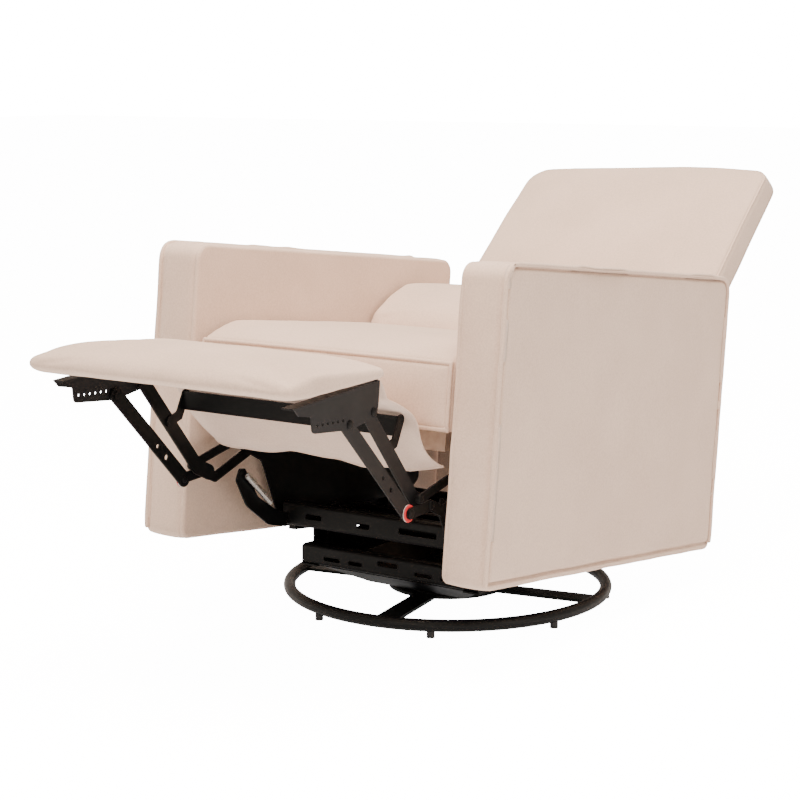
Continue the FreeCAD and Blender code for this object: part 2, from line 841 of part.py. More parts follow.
def build_soft_goods():
    length = val("arm_length")
    height = val("arm_height")
    large = val("arm_front_round")
    small = val("arm_corner_round")
    inset = val("board_inset")
    boards = []
    for side_name, side in SIDES.items():
        arm = plate(f"arm_{side_name}", side, "arm_inner", [
            (0, 0, small),
            (length, 0, small),
            (length, height, val("arm_rear_round")),
            (0, height, large),
        ], thick="arm_width")
        slot = sketch_on(arm, "XY_Plane")
        rectangle(slot, "sizes.arm_width / 2 - sizes.board_slot / 2", "sizes.board_inset",
                  "sizes.board_slot", "sizes.arm_length - 2 * sizes.board_inset")
        pocket(arm, slot, "sizes.board_height + 4", reverse=True)
        middle = val("arm_inner") + val("arm_width") / 2
        boards.append(block(f"arm_board_{side_name}",
                            (side * middle - val("board_width") / 2, inset + 0.5, 3),
                            ("sizes.board_width", "sizes.arm_length - 2 * sizes.board_inset - 1",
                             "sizes.board_height")))
    group("arm_boards", boards)

    rounding = val("seat_round")
    across("seat_cushion", [
        (val("seat_front"), val("seat_bottom"), 6),
        (val("seat_rear"), val("seat_bottom"), 10),
        (val("seat_rear"), val("seat_top"), rounding),
        (val("seat_front"), val("seat_top"), rounding),
    ], "seat_half")

    # The backrest is narrow between the arms and wider above them.
    back = across("backrest", [
        (811, 332, 12),
        (976, 546, 120),
        (1192, 781, 24),
        (1243, 734, 22),
        (1030, 500, 120),
        (937, 280, 16),
    ], "back_half")
    wide = sketch_on(back, "YZ_Plane")
    draw(wide, [
        (954.4, 518.1),
        (976, 546, 120),
        (1192, 781, 24),
        (1243, 734, 22),
        (1030, 500, 120),
        (1016.2, 471.5),
    ])
    pad(back, wide, "2 * sizes.back_wide_half", middle=True)

    radius = val("pillow_radius") - 0.001
    near = val("pillow_pivot_back") - radius
    far = val("pillow_pivot_back") + val("pillow_reach") + radius
    low = val("pillow_pivot_up") - radius
    high = val("pillow_pivot_up") + radius
    across("lumbar_pillow", box_corners(near, low, far, high, radius - 0.001), "pillow_half")

    across("footrest_pad", [
        (-441, 312, 9),
        (-430, 346, 22),
        (-370, 370, 60),
        (-186, 375, 12),
        (-173, 345, 5),
        (-405, 301.8, 12),
    ], "footpad_half")

    curtain_line = [
        (-158, 337),
        (-145, 307),
        (-112, 301),
        (-76, 292),
        (-52, 276),
        (-31, 240),
        (2, 200),
        (30, 184),
    ]
    across("gap_curtain", strip(curtain_line, val("curtain_thick") / 2, 8), "curtain_half")

    rear = block("rear_panel",
                 (-val("rear_panel_half"), val("rear_panel_start"), val("rear_panel_bottom")),
                 ("2 * sizes.rear_panel_half", "sizes.rear_panel_thick", "sizes.rear_panel_height"))
    node(rear, "rear_panel")

    tab = block("release_tab", (val("tab_layer"), val("tab_start"), val("tab_bottom")),
                ("sizes.tab_thick", "sizes.tab_width", "sizes.tab_height"))
    node(tab, "release_tab")


# ---------------------------------------------------------------- backrest hinge

def build_back_brackets():
    brackets = []
    pivot = (val("back_pivot_back"), val("back_pivot_up"))
    for side_name, side in SIDES.items():
        body = doc.addObject("PartDesign::Body", f"back_bracket_{side_name}")
        sketch = sketch_on(body, "YZ_Plane")
        draw(sketch, strip([pivot, (840, 285), (905, 382)], 18, 30))
        hole(sketch, *pivot, "back_hole")
        pad(body, sketch, "sizes.back_bracket_thick")
        layer = val("back_bracket_layer")
        thick = val("back_bracket_thick")
        body.Placement = placed(LEAN, layer if side > 0 else -layer - thick)
        brackets.append(body)
    group("back_brackets", brackets)


# ---------------------------------------------------------------- footrest linkage

def pivot(name):
    return (val(f"{name}_back"), val(f"{name}_up"))


def stud(body, side, place, radius, reach, outward=True):
    """A stud formed on a link, which starts in the plate's far face and crosses the plate."""
    towards_plus = (side > 0) == outward
    sketch = sketch_on(body, "YZ_Plane", 0.0 if towards_plus else val("sheet_metal"))
    hole(sketch, *place, radius)
    pad(body, sketch, reach, reverse=not towards_plus)


def build_linkage():
    half = val("link_half_width")
    ground_rear = pivot("ground_rear")
    ground_front = pivot("ground_front")
    knee = pivot("knee")
    cross = pivot("cross")
    mid = pivot("mid")
    foot_front = pivot("foot_front")
    foot_rear = pivot("foot_rear")
    bend = (44, 118)
    for side_name, side in SIDES.items():
        plate(f"ground_link_{side_name}", side, "ground_link_layer",
              strip([ground_rear, bend, cross, knee], val("ground_link_half")), [
                  (*ground_rear, "pivot_hole"),
                  (*cross, "pivot_hole"),
                  (*knee, "pivot_hole"),
              ])
        upper = plate(f"upper_link_{side_name}", side, "ground_link_layer",
                      strip([ground_front, mid], val("upper_link_half")),
                      [(*ground_front, "pivot_hole")])
        stud(upper, side, mid, "swing_pin",
             "sizes.ground_link_layer - sizes.front_link_layer - 0.6", outward=False)
        plate(f"front_link_{side_name}", side, "front_link_layer",
              strip([knee, foot_front], half), [
                  (*knee, "pivot_hole"),
                  (*foot_front, "pivot_hole"),
                  (-105, 162, "swing_pin"),
                  (-130, 183, "pivot_pin"),
              ])
        rear = plate(f"rear_link_{side_name}", side, "rear_link_layer",
                     strip([cross, mid, foot_rear], half, 14))
        stud(rear, side, cross, "pivot_pin",
             "sizes.ground_link_layer - sizes.rear_link_layer + 5")

        # Knee: a pale bush inside, a red washer between the links and a riveted pin through both.
        shank = pin(f"knee_shank_{side_name}", side, "sizes.front_link_layer - 1",
                    "sizes.ground_link_layer + 4.5", "sizes.pivot_pin", *knee)
        inner = pin(f"knee_inner_{side_name}", side, "sizes.front_link_layer - 6",
                    "sizes.front_link_layer", "sizes.bush_radius", *knee)
        outer = pin(f"knee_outer_{side_name}", side, "sizes.ground_link_layer + 3.3",
                    "sizes.ground_link_layer + 5", "sizes.rivet_head", *knee)
        node(fused(f"knee_bush_{side_name}", [shank, inner, outer]), f"knee_bush_{side_name}")

        washer = new_body(f"knee_washer_{side_name}")
        face = sketch_on(washer, "YZ_Plane")
        hole(face, *knee, "washer_radius")
        hole(face, *knee, "pivot_hole")
        pad(washer, face, "sizes.washer_thick")
        layer = val("front_link_layer") + val("sheet_metal") + 0.2
        washer.Placement = placed(LEAN, layer if side > 0 else -layer - val("washer_thick"))

    low = (val("bar_back") - val("bar_depth") / 2, val("bar_up") - val("bar_height") / 2)
    bar = block("torque_bar", (-val("bar_half"), *low),
                ("2 * sizes.bar_half", "sizes.bar_depth", "sizes.bar_height"))
    node(bar, "torque_bar")

    arms = []
    for side_name, side in SIDES.items():
        body = doc.addObject("PartDesign::Body", f"torque_arm_{side_name}")
        sketch = sketch_on(body, "YZ_Plane")
        draw(sketch, strip([(-112, 228), (-88, 238), (-74, 276)], 9, 5))
        pad(body, sketch, "sizes.sheet_metal")
        layer = val("bent_arm_layer")
        body.Placement = placed(LEAN, layer if side > 0 else -layer - val("sheet_metal"))
        arms.append(body)
    group("torque_arms", arms)

    # Each footrest bracket is an angle: an upright plate with holes and a flange under the pad.
    brackets = []
    for side_name, side in SIDES.items():
        body = doc.addObject("PartDesign::Body", f"footrest_bracket_{side_name}")
        sketch = sketch_on(body, "YZ_Plane")
        draw(sketch, [
            (-392, 303.5),
            (-378, 292, 4),
            (-346, 290, 4),
            (-340, 264, 8),
            (-238, 267, 8),
            (-172, 286, 8),
            (-168, 304, 8),
            (-168, 344.9),
        ])
        for back in (-330, -316.5, -303, -289.5, -276, -262.5):
            hole(sketch, back, 277 + (back + 330) * 0.08, "bracket_hole")
        hole(sketch, *foot_front, "pivot_pin")
        hole(sketch, *foot_rear, "pivot_pin")
        pad(body, sketch, "sizes.sheet_metal")
        flange = sketch_on(body, "YZ_Plane", 0.0 if side > 0 else val("sheet_metal"))
        draw(flange, [(-392, 300.5), (-392, 303.5), (-168, 344.9), (-168, 341.9)])
        pad(body, flange, "sizes.flange_width", reverse=side > 0)
        layer = val("ground_link_layer")
        body.Placement = placed(LEAN, layer if side > 0 else -layer - val("sheet_metal"))
        brackets.append(body)
    group("footrest_brackets", brackets)

    pins = []
    for side_name, side in SIDES.items():
        name = f"footrest_pin_{side_name}"
        shank = pin(name + "_shank", side, "sizes.front_link_layer - 2.5",
                    "sizes.ground_link_layer + 4", "sizes.pivot_pin", *foot_front)
        cap = pin(name + "_cap", side, "sizes.front_link_layer - 2.6",
                  "sizes.front_link_layer - 0.3", "sizes.rivet_head", *foot_front)
        pins.append(fused(name, [shank, cap]))
        pins.append(pin(f"footrest_stub_{side_name}", side,
                        "sizes.rear_link_layer + sizes.sheet_metal + 0.4",
                        "sizes.ground_link_layer + 4", "sizes.pivot_pin", *foot_rear))
    group("footrest_pins", pins)


build_base()
build_swivel_frame()
build_swing_links()
build_platform()
build_chair_frame()
build_soft_goods()
build_back_brackets()
build_linkage()
doc.recompute()

failed = [o.Name for o in doc.Objects if "Invalid" in o.State or "Error" in o.State]
if failed:
    raise RuntimeError(f"failed objects: {failed}")
for part in nodes:
    if part.Shape.isNull() or not part.Shape.isValid() or not part.Shape.Solids:
        raise RuntimeError(f"{part.Label} has no valid solid")
for part in nodes:
    part.Shape.exportStep(f"parts/{part.Label}.step")
print(len(nodes), "sub-parts written")
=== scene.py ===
"""Looks of the swivel glider recliner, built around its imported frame.

Every piece is drawn in metres. The upholstered body leans back, so its pieces are drawn in the
"chair frame": x across, y back from the front of the arms, z up from the bottom of the arms.
The matrix CHAIR takes them from there to the row frame.
"""
import bmesh
import bpy
import math
import numpy as np
from mathutils import Matrix, Vector, noise
from mathutils.bvhtree import BVHTree
from mathutils.kdtree import KDTree


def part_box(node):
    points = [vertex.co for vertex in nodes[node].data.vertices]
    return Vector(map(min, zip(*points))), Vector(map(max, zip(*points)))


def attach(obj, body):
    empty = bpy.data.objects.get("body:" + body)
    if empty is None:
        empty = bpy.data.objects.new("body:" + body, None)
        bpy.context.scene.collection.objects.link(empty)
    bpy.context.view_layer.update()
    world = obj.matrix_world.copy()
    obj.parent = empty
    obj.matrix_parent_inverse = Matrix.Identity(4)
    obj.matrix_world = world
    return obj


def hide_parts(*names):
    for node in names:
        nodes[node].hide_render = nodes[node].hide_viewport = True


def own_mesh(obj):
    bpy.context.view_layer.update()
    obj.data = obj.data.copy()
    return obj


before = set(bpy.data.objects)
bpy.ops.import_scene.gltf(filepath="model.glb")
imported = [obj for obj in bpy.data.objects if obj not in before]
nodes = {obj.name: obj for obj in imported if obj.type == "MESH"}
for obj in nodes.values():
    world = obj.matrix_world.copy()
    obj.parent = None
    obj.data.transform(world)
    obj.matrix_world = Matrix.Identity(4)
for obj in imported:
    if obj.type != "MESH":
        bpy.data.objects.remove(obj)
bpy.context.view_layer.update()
SIDES = {"left": 1, "right": -1}

# ---------------------------------------------------------------- places and sizes

LEAN = math.radians(6.63)
ARM_LENGTH = 0.857
ARM_HEIGHT = 0.546
ARM_FRONT_ROUND = 0.028
ARM_CORNER_ROUND = 0.020
ARM_REAR_ROUND = 0.030


def chair_matrix():
    """Where the chair frame stands, read from the box of the leaning arm."""
    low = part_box("arm_left")[0]
    sine, cosine = math.sin(LEAN), math.cos(LEAN)
    front = low.y - ARM_CORNER_ROUND * (cosine + sine - 1)
    height = low.z + sine * (ARM_LENGTH - ARM_CORNER_ROUND) + ARM_CORNER_ROUND * (1 - cosine)
    return Matrix.Translation((0, front, height)) @ Matrix.Rotation(-LEAN, 4, "X")


CHAIR = chair_matrix()
TO_CHAIR = CHAIR.inverted()


def points_of(node):
    """The vertices of a CAD node in the chair frame."""
    return np.array([TO_CHAIR @ vertex.co for vertex in nodes[node].data.vertices])


# ---------------------------------------------------------------- materials

class Shader:
    """A short way to write the nodes of one material."""

    def __init__(self, name, **inputs):
        self.material = bpy.data.materials.new(name)
        self.material.use_nodes = True
        self.tree = self.material.node_tree
        self.surface = self.tree.nodes["Principled BSDF"]
        self.place = self.add("ShaderNodeTexCoord").outputs["Object"]
        for key, value in inputs.items():
            self.surface.inputs[key.replace("_", " ").capitalize()].default_value = value

    def add(self, kind, **inputs):
        made = self.tree.nodes.new(kind)
        for key, value in inputs.items():
            self.put(made.inputs[key.replace("_", " ").title()], value)
        return made

    def put(self, socket, value):
        if isinstance(value, bpy.types.NodeSocket):
            self.tree.links.new(value, socket)
        else:
            socket.default_value = value

    def noise(self, scale, detail=3.0, place=None):
        made = self.add("ShaderNodeTexNoise", scale=scale, detail=detail)
        self.put(made.inputs["Vector"], self.place if place is None else place)
        return made.outputs["Fac"]

    def maths(self, operation, first, second, third=None):
        made = self.add("ShaderNodeMath")
        made.operation = operation
        for socket, value in zip(made.inputs, (first, second, third)):
            if value is not None:
                self.put(socket, value)
        return made.outputs[0]

    def ramp(self, value, low, high, to_low=0.0, to_high=1.0):
        made = self.add("ShaderNodeMapRange")
        self.put(made.inputs["Value"], value)
        numbers = {"From Min": low, "From Max": high, "To Min": to_low, "To Max": to_high}
        for key, number in numbers.items():
            self.put(made.inputs[key], number)
        return made.outputs[0]

    def mix(self, share, first, second):
        made = self.add("ShaderNodeMix")
        made.data_type = "RGBA"
        colours = [socket for socket in made.inputs if socket.type == "RGBA"]
        self.put(made.inputs[0], share)
        self.put(colours[0], first)
        self.put(colours[1], second)
        return [socket for socket in made.outputs if socket.type == "RGBA"][0]

    def bump(self, height, strength, distance):
        made = self.add("ShaderNodeBump", strength=strength, distance=distance, height=height)
        return made.outputs[0]

    def finish(self, colour, roughness, normal):
        for key, value in (("Base Color", colour), ("Roughness", roughness), ("Normal", normal)):
            if value is not None:
                self.put(self.surface.inputs[key], value)
        return self.material


def rgb(red, green, blue):
    return (red, green, blue, 1.0)


def woven(name, light, dark, pitch=0.0022, depth=0.00035):
    """Plain-woven upholstery cloth with slubs: yarns cross on all three faces of space, and the
    surface's own direction picks the pair that shows."""
    cloth = Shader(name, roughness=0.92)
    cloth.surface.inputs["Sheen Weight"].default_value = 0.25
    cloth.surface.inputs["Sheen Roughness"].default_value = 0.55
    cloth.surface.inputs["Specular IOR Level"].default_value = 0.2
    axes = cloth.add("ShaderNodeSeparateXYZ")
    cloth.put(axes.inputs[0], cloth.place)
    turns = 2 * math.pi / pitch
    waves = [cloth.maths("SINE", cloth.maths("MULTIPLY", axes.outputs[i], turns), None)
             for i in range(3)]
    normal = cloth.add("ShaderNodeSeparateXYZ")
    cloth.put(normal.inputs[0], cloth.add("ShaderNodeNewGeometry").outputs["Normal"])
    weave = None
    for i in range(3):
        crossing = cloth.maths("MULTIPLY", waves[(i + 1) % 3], waves[(i + 2) % 3])
        facing = cloth.maths("POWER", cloth.maths("ABSOLUTE", normal.outputs[i], None), 3.0)
        weave = cloth.maths("MULTIPLY_ADD", crossing, facing, 0.0 if weave is None else weave)
    slubs = cloth.noise(320.0, 2.0)
    patches = cloth.noise(7.0, 3.0)
    height = cloth.maths("MULTIPLY_ADD", slubs, 1.2, weave)
    tone = cloth.maths("MULTIPLY_ADD", weave, 0.10, cloth.ramp(slubs, 0.3, 0.7, 0.1, 0.7))
    tone = cloth.maths("MULTIPLY_ADD", cloth.ramp(patches, 0.35, 0.65), 0.3, tone)
    return cloth.finish(cloth.mix(tone, dark, light), None, cloth.bump(height, 0.5, depth))


def coated(name, colour, roughness, dust, gloss_level):
    """Powder-coated steel: a fine orange peel, uneven gloss and a little dust on top faces."""
    paint = Shader(name, roughness=roughness)
    paint.surface.inputs["Specular IOR Level"].default_value = gloss_level
    peel = paint.noise(900.0, 2.0)
    cloudy = paint.noise(14.0, 4.0)
    normal = paint.add("ShaderNodeSeparateXYZ")
    paint.put(normal.inputs[0], paint.add("ShaderNodeNewGeometry").outputs["Normal"])
    upward = paint.ramp(normal.outputs[2], 0.3, 1.0, 0.0, dust)
    dusty = paint.maths("MULTIPLY", upward, paint.ramp(cloudy, 0.35, 0.7))
    shade = paint.mix(dusty, rgb(*colour), rgb(0.35, 0.33, 0.31))
    gloss = paint.ramp(cloudy, 0.3, 0.7, roughness - 0.07, roughness + 0.09)
    return paint.finish(shade, gloss, paint.bump(peel, 0.25, 0.0002))


def bare_metal(name, colour, roughness):
    """Drawn or zinc-plated steel with a fine mottle."""
    metal = Shader(name, metallic=1.0, roughness=roughness)
    mottle = metal.noise(420.0, 2.0)
    tone = metal.mix(metal.ramp(mottle, 0.3, 0.7), rgb(*(0.75 * c for c in colour)), rgb(*colour))
    return metal.finish(tone, metal.ramp(mottle, 0.2, 0.8, roughness - 0.08, roughness + 0.12),
                        metal.bump(mottle, 0.15, 0.0001))


def moulded(name, colour, roughness):
    """Moulded plastic with a faint texture and slight colour drift."""
    plastic = Shader(name, roughness=roughness)
    fine = plastic.noise(1500.0, 2.0)
    drift = plastic.noise(30.0, 2.0)
    darker = rgb(*(0.82 * c for c in colour))
    tone = plastic.mix(plastic.ramp(drift, 0.3, 0.7), darker, rgb(*colour))
    return plastic.finish(tone, plastic.ramp(fine, 0.2, 0.8, roughness - 0.05, roughness + 0.05),
                          plastic.bump(fine, 0.1, 0.0001))


def plywood(name, dark=rgb(0.42, 0.27, 0.15), light=rgb(0.68, 0.5, 0.33)):
    """Birch board with grain along y."""
    wood = Shader(name, roughness=0.6)
    stretch = wood.add("ShaderNodeMapping")
    wood.put(stretch.inputs["Vector"], wood.place)
    stretch.inputs["Scale"].default_value = (60.0, 3.0, 60.0)
    grain = wood.noise(1.0, 5.0, stretch.outputs[0])
    tone = wood.mix(wood.ramp(grain, 0.3, 0.7), dark, light)
    return wood.finish(tone, wood.ramp(grain, 0.3, 0.7, 0.5, 0.7), wood.bump(grain, 0.2, 0.0003))


CREAM = woven("cream_weave", rgb(0.765, 0.585, 0.475), rgb(0.60, 0.448, 0.36))
LINING = woven("pale_lining", rgb(0.74, 0.575, 0.49), rgb(0.60, 0.46, 0.385), 0.0014, 0.0002)
WEBBING = woven("tab_webbing", rgb(0.66, 0.50, 0.41), rgb(0.50, 0.37, 0.30), 0.0016, 0.0005)
BLACK_STEEL = coated("black_powder_coat", (0.0024, 0.0026, 0.0030), 0.42, 0.008, 0.16)
RING_STEEL = coated("ring_powder_coat", (0.0035, 0.0042, 0.0050), 0.36, 0.008, 0.22)
# Grey coat: the footrest brackets' own colour, and painted light on the near-side front and rear
# links.
GREY_COAT_AND_LIT_LINK_PAINT = coated("grey_bracket_coat_and_lit_link_paint", (0.0105, 0.0105, 0.0120), 0.46, 0.015, 0.2)
ZINC = bare_metal("zinc_plate", (0.62, 0.62, 0.60), 0.34)
SPRING_WIRE = bare_metal("spring_wire", (0.70, 0.70, 0.69), 0.28)
RED = moulded("red_acetal", (0.62, 0.03, 0.04), 0.35)
NYLON = moulded("pale_nylon", (0.66, 0.69, 0.66), 0.45)
BLACK_PLASTIC = moulded("black_glide", (0.015, 0.015, 0.016), 0.5)
BIRCH = plywood("birch_plywood")
RAIL_BOARD = plywood("seat_rail_board", rgb(0.36, 0.29, 0.235), rgb(0.50, 0.42, 0.35))

# ---------------------------------------------------------------- mesh tools


def make_piece(name, vertices, faces, material, body, slot, place=CHAIR):
    """A smooth mesh that rides on a body."""
    mesh = bpy.data.meshes.new(name)
    mesh.from_pydata([tuple(v) for v in vertices], [], faces)
    work = bmesh.new()
    work.from_mesh(mesh)
    bmesh.ops.recalc_face_normals(work, faces=work.faces)
    work.to_mesh(mesh)
    work.free()
    mesh.transform(place)
    mesh.materials.append(material)
    mesh.shade_smooth()
    piece = bpy.data.objects.new(name, mesh)
    bpy.context.scene.collection.objects.link(piece)
    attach(piece, body)
    return piece


def unit(vector):
    return vector / max(np.linalg.norm(vector), 1e-12)


def even_steps(points, step, closed=False):
    """The same line with its points about one step apart."""
    points = np.asarray(points, float)
    if closed:
        points = np.vstack([points, points[:1]])
    lengths = np.linalg.norm(np.diff(points, axis=0), axis=1)
    reach = np.concatenate([[0], np.cumsum(lengths)])
    count = max(2, round(reach[-1] / step))
    stops = np.linspace(0, reach[-1], count + 1)
    if closed:
        stops = stops[:-1]
    return np.column_stack([np.interp(stops, reach, points[:, k]) for k in range(points.shape[1])])


def rounded(corners, step):
    """A closed line through (a, b, radius) corners with round bends, in even steps."""
    line = []
    for index, (a, b, radius) in enumerate(corners):
        here = np.array([a, b])
        back = unit(np.array(corners[index - 1][:2]) - here)
        ahead = unit(np.array(corners[(index + 1) % len(corners)][:2]) - here)
        half = math.acos(np.clip(back @ ahead, -1, 1)) / 2
        centre = here + unit(back + ahead) * radius / math.sin(half)
        first = here + back * radius / math.tan(half) - centre
        final = here + ahead * radius / math.tan(half) - centre
        sweep = math.pi - 2 * half
        for part in np.linspace(0, 1, 9):
            blend = math.sin((1 - part) * sweep) * first + math.sin(part * sweep) * final
            line.append(centre + blend / math.sin(sweep))
    return even_steps(line, step, True)


def outward(loop):
    """Unit normals of a closed plane loop, pointing out of it."""
    ahead = np.roll(loop, -1, axis=0) - np.roll(loop, 1, axis=0)
    normals = np.column_stack([ahead[:, 1], -ahead[:, 0]])
    normals /= np.linalg.norm(normals, axis=1)[:, None]
    following = np.roll(loop, -1, axis=0)
    area = (loop[:, 0] * following[:, 1] - following[:, 0] * loop[:, 1]).sum()
    return normals if area > 0 else -normals


def band(first, second, count):
    """Faces between two closed rings of count points, which start at first and second."""
    return [(first + k, first + (k + 1) % count, second + (k + 1) % count, second + k)
            for k in range(count)]


def lofted(loop, rings):
    """Vertices and faces of a closed form: each ring is (x, inset, share), the loop moved in by
    inset and then drawn towards its middle by share."""
    normals = outward(loop)
    middle = loop.mean(axis=0)
    vertices = []
    for x, inset, share in rings:
        ring = middle + (loop - normals * inset - middle) * share
        vertices.extend((x, y, z) for y, z in ring)
    count = len(loop)
    faces = []
    for ring in range(len(rings) - 1):
        faces.extend(band(ring * count, (ring + 1) * count, count))
    for ring in (0, len(rings) - 1):
        hub = len(vertices)
        vertices.append((rings[ring][0], *middle))
        faces.extend((ring * count + k, ring * count + (k + 1) % count, hub) for k in range(count))
    return vertices, faces


def swept(points, radius, sides=12, closed=False):
    """Vertices and faces of a round tube along points, with domed ends."""
    points = np.asarray(points, float)
    if closed:
        along = np.roll(points, -1, axis=0) - np.roll(points, 1, axis=0)
    else:
        along = np.gradient(points, axis=0)
    along /= np.linalg.norm(along, axis=1)[:, None]
    across = np.cross(along[0], (1.0, 0.0, 0.0))
    if np.linalg.norm(across) < 0.2:
        across = np.cross(along[0], (0.0, 0.0, 1.0))
    rings = []
    for place, forward in zip(points, along):
        across = unit(across - (across @ forward) * forward)
        rings.append((place, forward, across, 1.0))
    if not closed:
        place, forward, across, _ = rings[0]
        caps = [(place - forward * radius * math.sin(a), forward, across, math.cos(a))
                for a in (1.45, 1.0, 0.5)]
        place, forward, across, _ = rings[-1]
        ends = [(place + forward * radius * math.sin(a), forward, across, math.cos(a))
                for a in (0.5, 1.0, 1.45)]
        rings = caps + rings + ends
    vertices = []
    for place, forward, across, share in rings:
        other = np.cross(forward, across)
        for k in range(sides):
            turn = 2 * math.pi * k / sides
            spoke = math.cos(turn) * across + math.sin(turn) * other
            vertices.append(place + radius * share * spoke)
    faces = []
    spans = len(rings) if closed else len(rings) - 1
    for ring in range(spans):
        faces.extend(band(ring * sides, (ring + 1) % len(rings) * sides, sides))
    if not closed:
        faces.append(tuple(range(sides)))
        faces.append(tuple(len(vertices) - sides + k for k in range(sides)))
    return vertices, faces


def merged(parts):
    """Several (vertices, faces) pairs as one pair."""
    vertices, faces = [], []
    for some_vertices, some_faces in parts:
        start = len(vertices)
        vertices.extend(some_vertices)
        faces.extend(tuple(start + k for k in face) for face in some_faces)
    return vertices, faces


def coordinates(mesh, kind="co"):
    flat = np.empty(len(mesh.vertices) * 3)
    mesh.vertices.foreach_get(kind, flat)
    return flat.reshape(-1, 3)


def set_coordinates(mesh, places):
    mesh.vertices.foreach_set("co", np.asarray(places, float).ravel())
    mesh.update()


def vertex_normals(mesh):
    return coordinates(mesh, "normal")


def rumple(piece, height, size, seed):
    """Slow unevenness of stuffed cloth, along the surface's own direction."""
    mesh = piece.data
    places = coordinates(mesh)
    normals = vertex_normals(mesh)
    shift = Vector((seed * 7.3, seed * 3.1, seed * 5.7))
    amounts = [noise.fractal(Vector(p) / size + shift, 1.0, 2.0, 3) for p in places]
    set_coordinates(mesh, places + normals * (height * np.array(amounts))[:, None])


def applied(piece):
    """Bakes a piece's modifiers into its mesh."""
    shown = piece.evaluated_get(bpy.context.evaluated_depsgraph_get())
    made = bpy.data.meshes.new_from_object(shown)
    piece.modifiers.clear()
    old = piece.data
    piece.data = made
    bpy.data.meshes.remove(old)
    made.shade_smooth()


def remeshed(piece, voxel, smooth):
    """Gives a piece an even mesh of about one voxel a face."""
    shape = piece.modifiers.new("Remesh", "REMESH")
    shape.mode = "VOXEL"
    shape.voxel_size = voxel
    ease = piece.modifiers.new("Smooth", "SMOOTH")
    ease.factor = 0.5
    ease.iterations = smooth
    applied(piece)


CLOTH_STIFFNESS = 12.0
CLOTH_FRAMES = 20


def inflated(piece, pinned, pressure, cap):
    """Blows a closed cloth form up against its pinned points, and stops each point at the cap."""
    start = coordinates(piece.data)
    group = piece.vertex_groups.new(name="held")
    for index in np.flatnonzero(pinned):
        group.add([int(index)], 1.0, "REPLACE")
    cloth = piece.modifiers.new("Cloth", "CLOTH")
    settings = cloth.settings
    settings.quality = 6
    settings.mass = 0.3
    settings.tension_stiffness = CLOTH_STIFFNESS
    settings.compression_stiffness = CLOTH_STIFFNESS
    settings.shear_stiffness = CLOTH_STIFFNESS / 2
    settings.bending_stiffness = 0.6
    settings.air_damping = 2.0
    settings.use_pressure = True
    settings.uniform_pressure_force = pressure
    settings.effector_weights.gravity = 0.0
    settings.vertex_group_mass = "held"
    cloth.point_cache.frame_end = CLOTH_FRAMES
    scene = bpy.context.scene
    for step in range(1, CLOTH_FRAMES + 1):
        scene.frame_set(step)
    shown = piece.evaluated_get(bpy.context.evaluated_depsgraph_get())
    moved = coordinates(shown.data) - start
    piece.modifiers.clear()
    piece.vertex_groups.clear()
    scene.frame_set(1)
    reach = np.linalg.norm(moved, axis=1)[:, None]
    limit = cap * np.tanh(reach / cap) / np.maximum(reach, 1e-9)
    set_coordinates(piece.data, start + moved * limit)


def relaxed(piece):
    """Smooths a piece and halves its faces' size."""
    ease = piece.modifiers.new("Smooth", "SMOOTH")
    ease.factor = 0.5
    ease.iterations = 3
    finer = piece.modifiers.new("Subdivision", "SUBSURF")
    finer.levels = 1
    finer.render_levels = 1
    applied(piece)


def distances(places, lines, step):
    """How far each place is from the nearest of the lines."""
    dense = np.vstack([even_steps(line, step) for line in lines])
    tree = KDTree(len(dense))
    for index, point in enumerate(dense):
        tree.insert(point, index)
    tree.balance()
    return np.array([tree.find(place)[2] for place in places])


def grooved(piece, lines, width, depth):
    """Draws the cloth in along each seam line, given as points in the row frame."""
    places = coordinates(piece.data)
    gaps = distances(places, lines, width / 2)
    pull = depth * np.exp(-(gaps / width) ** 2)
    set_coordinates(piece.data, places - vertex_normals(piece.data) * pull[:, None])


def on_surface(piece, line, lift):
    """A line moved onto a piece's surface and raised by lift."""
    mesh = piece.data
    corners = [vertex.co for vertex in mesh.vertices]
    tree = BVHTree.FromPolygons(corners, [face.vertices for face in mesh.polygons])
    placed = []
    for point in line:
        near, normal, _, _ = tree.find_nearest(Vector(point))
        placed.append(near + normal * lift)
    return np.array(placed)


def eased(line, times):
    """A line with its small steps taken out; the ends stay."""
    for _ in range(times):
        line[1:-1] = (line[:-2] + 2 * line[1:-1] + line[2:]) / 4
    return line


def to_row(points):
    """Points of the chair frame in the row frame."""
    return np.array([CHAIR @ Vector(p) for p in points])


def welt(name, line, body, closed=False, radius=0.0036):
    """Covered cord sewn into a seam. line is in the row frame."""
    vertices, faces = swept(even_steps(line, 0.005, closed), radius, 12, closed)
    make_piece(name, vertices, faces, CREAM, body, "cream_fabric", Matrix.Identity(4))


# ---------------------------------------------------------------- arms

# The upholstered arm stands a little inside its CAD solid, and its faces crown outwards.
ARM_EDGE = 0.007
ARM_SLIMMER_IN = 0.007
ARM_SLIMMER_OUT = 0.004
ARM_WELT = 0.0040
ARM_FACE_CROWN = 0.0045
ARM_RIM_CROWN = 0.002
ARM_CREASE_WIDTH = 0.0031
# The seams end at this height.
ARM_SEAM_FOOT = 0.012


def cap_rings(x, inset, crown, side):
    """Rings that close one face of a form, crowned by crown towards side."""
    return [(x + side * crown * (1 - share ** 2) ** 1.5, inset, share)
            for share in 1 - 0.97 * np.linspace(0, 1, 36) ** 1.9]


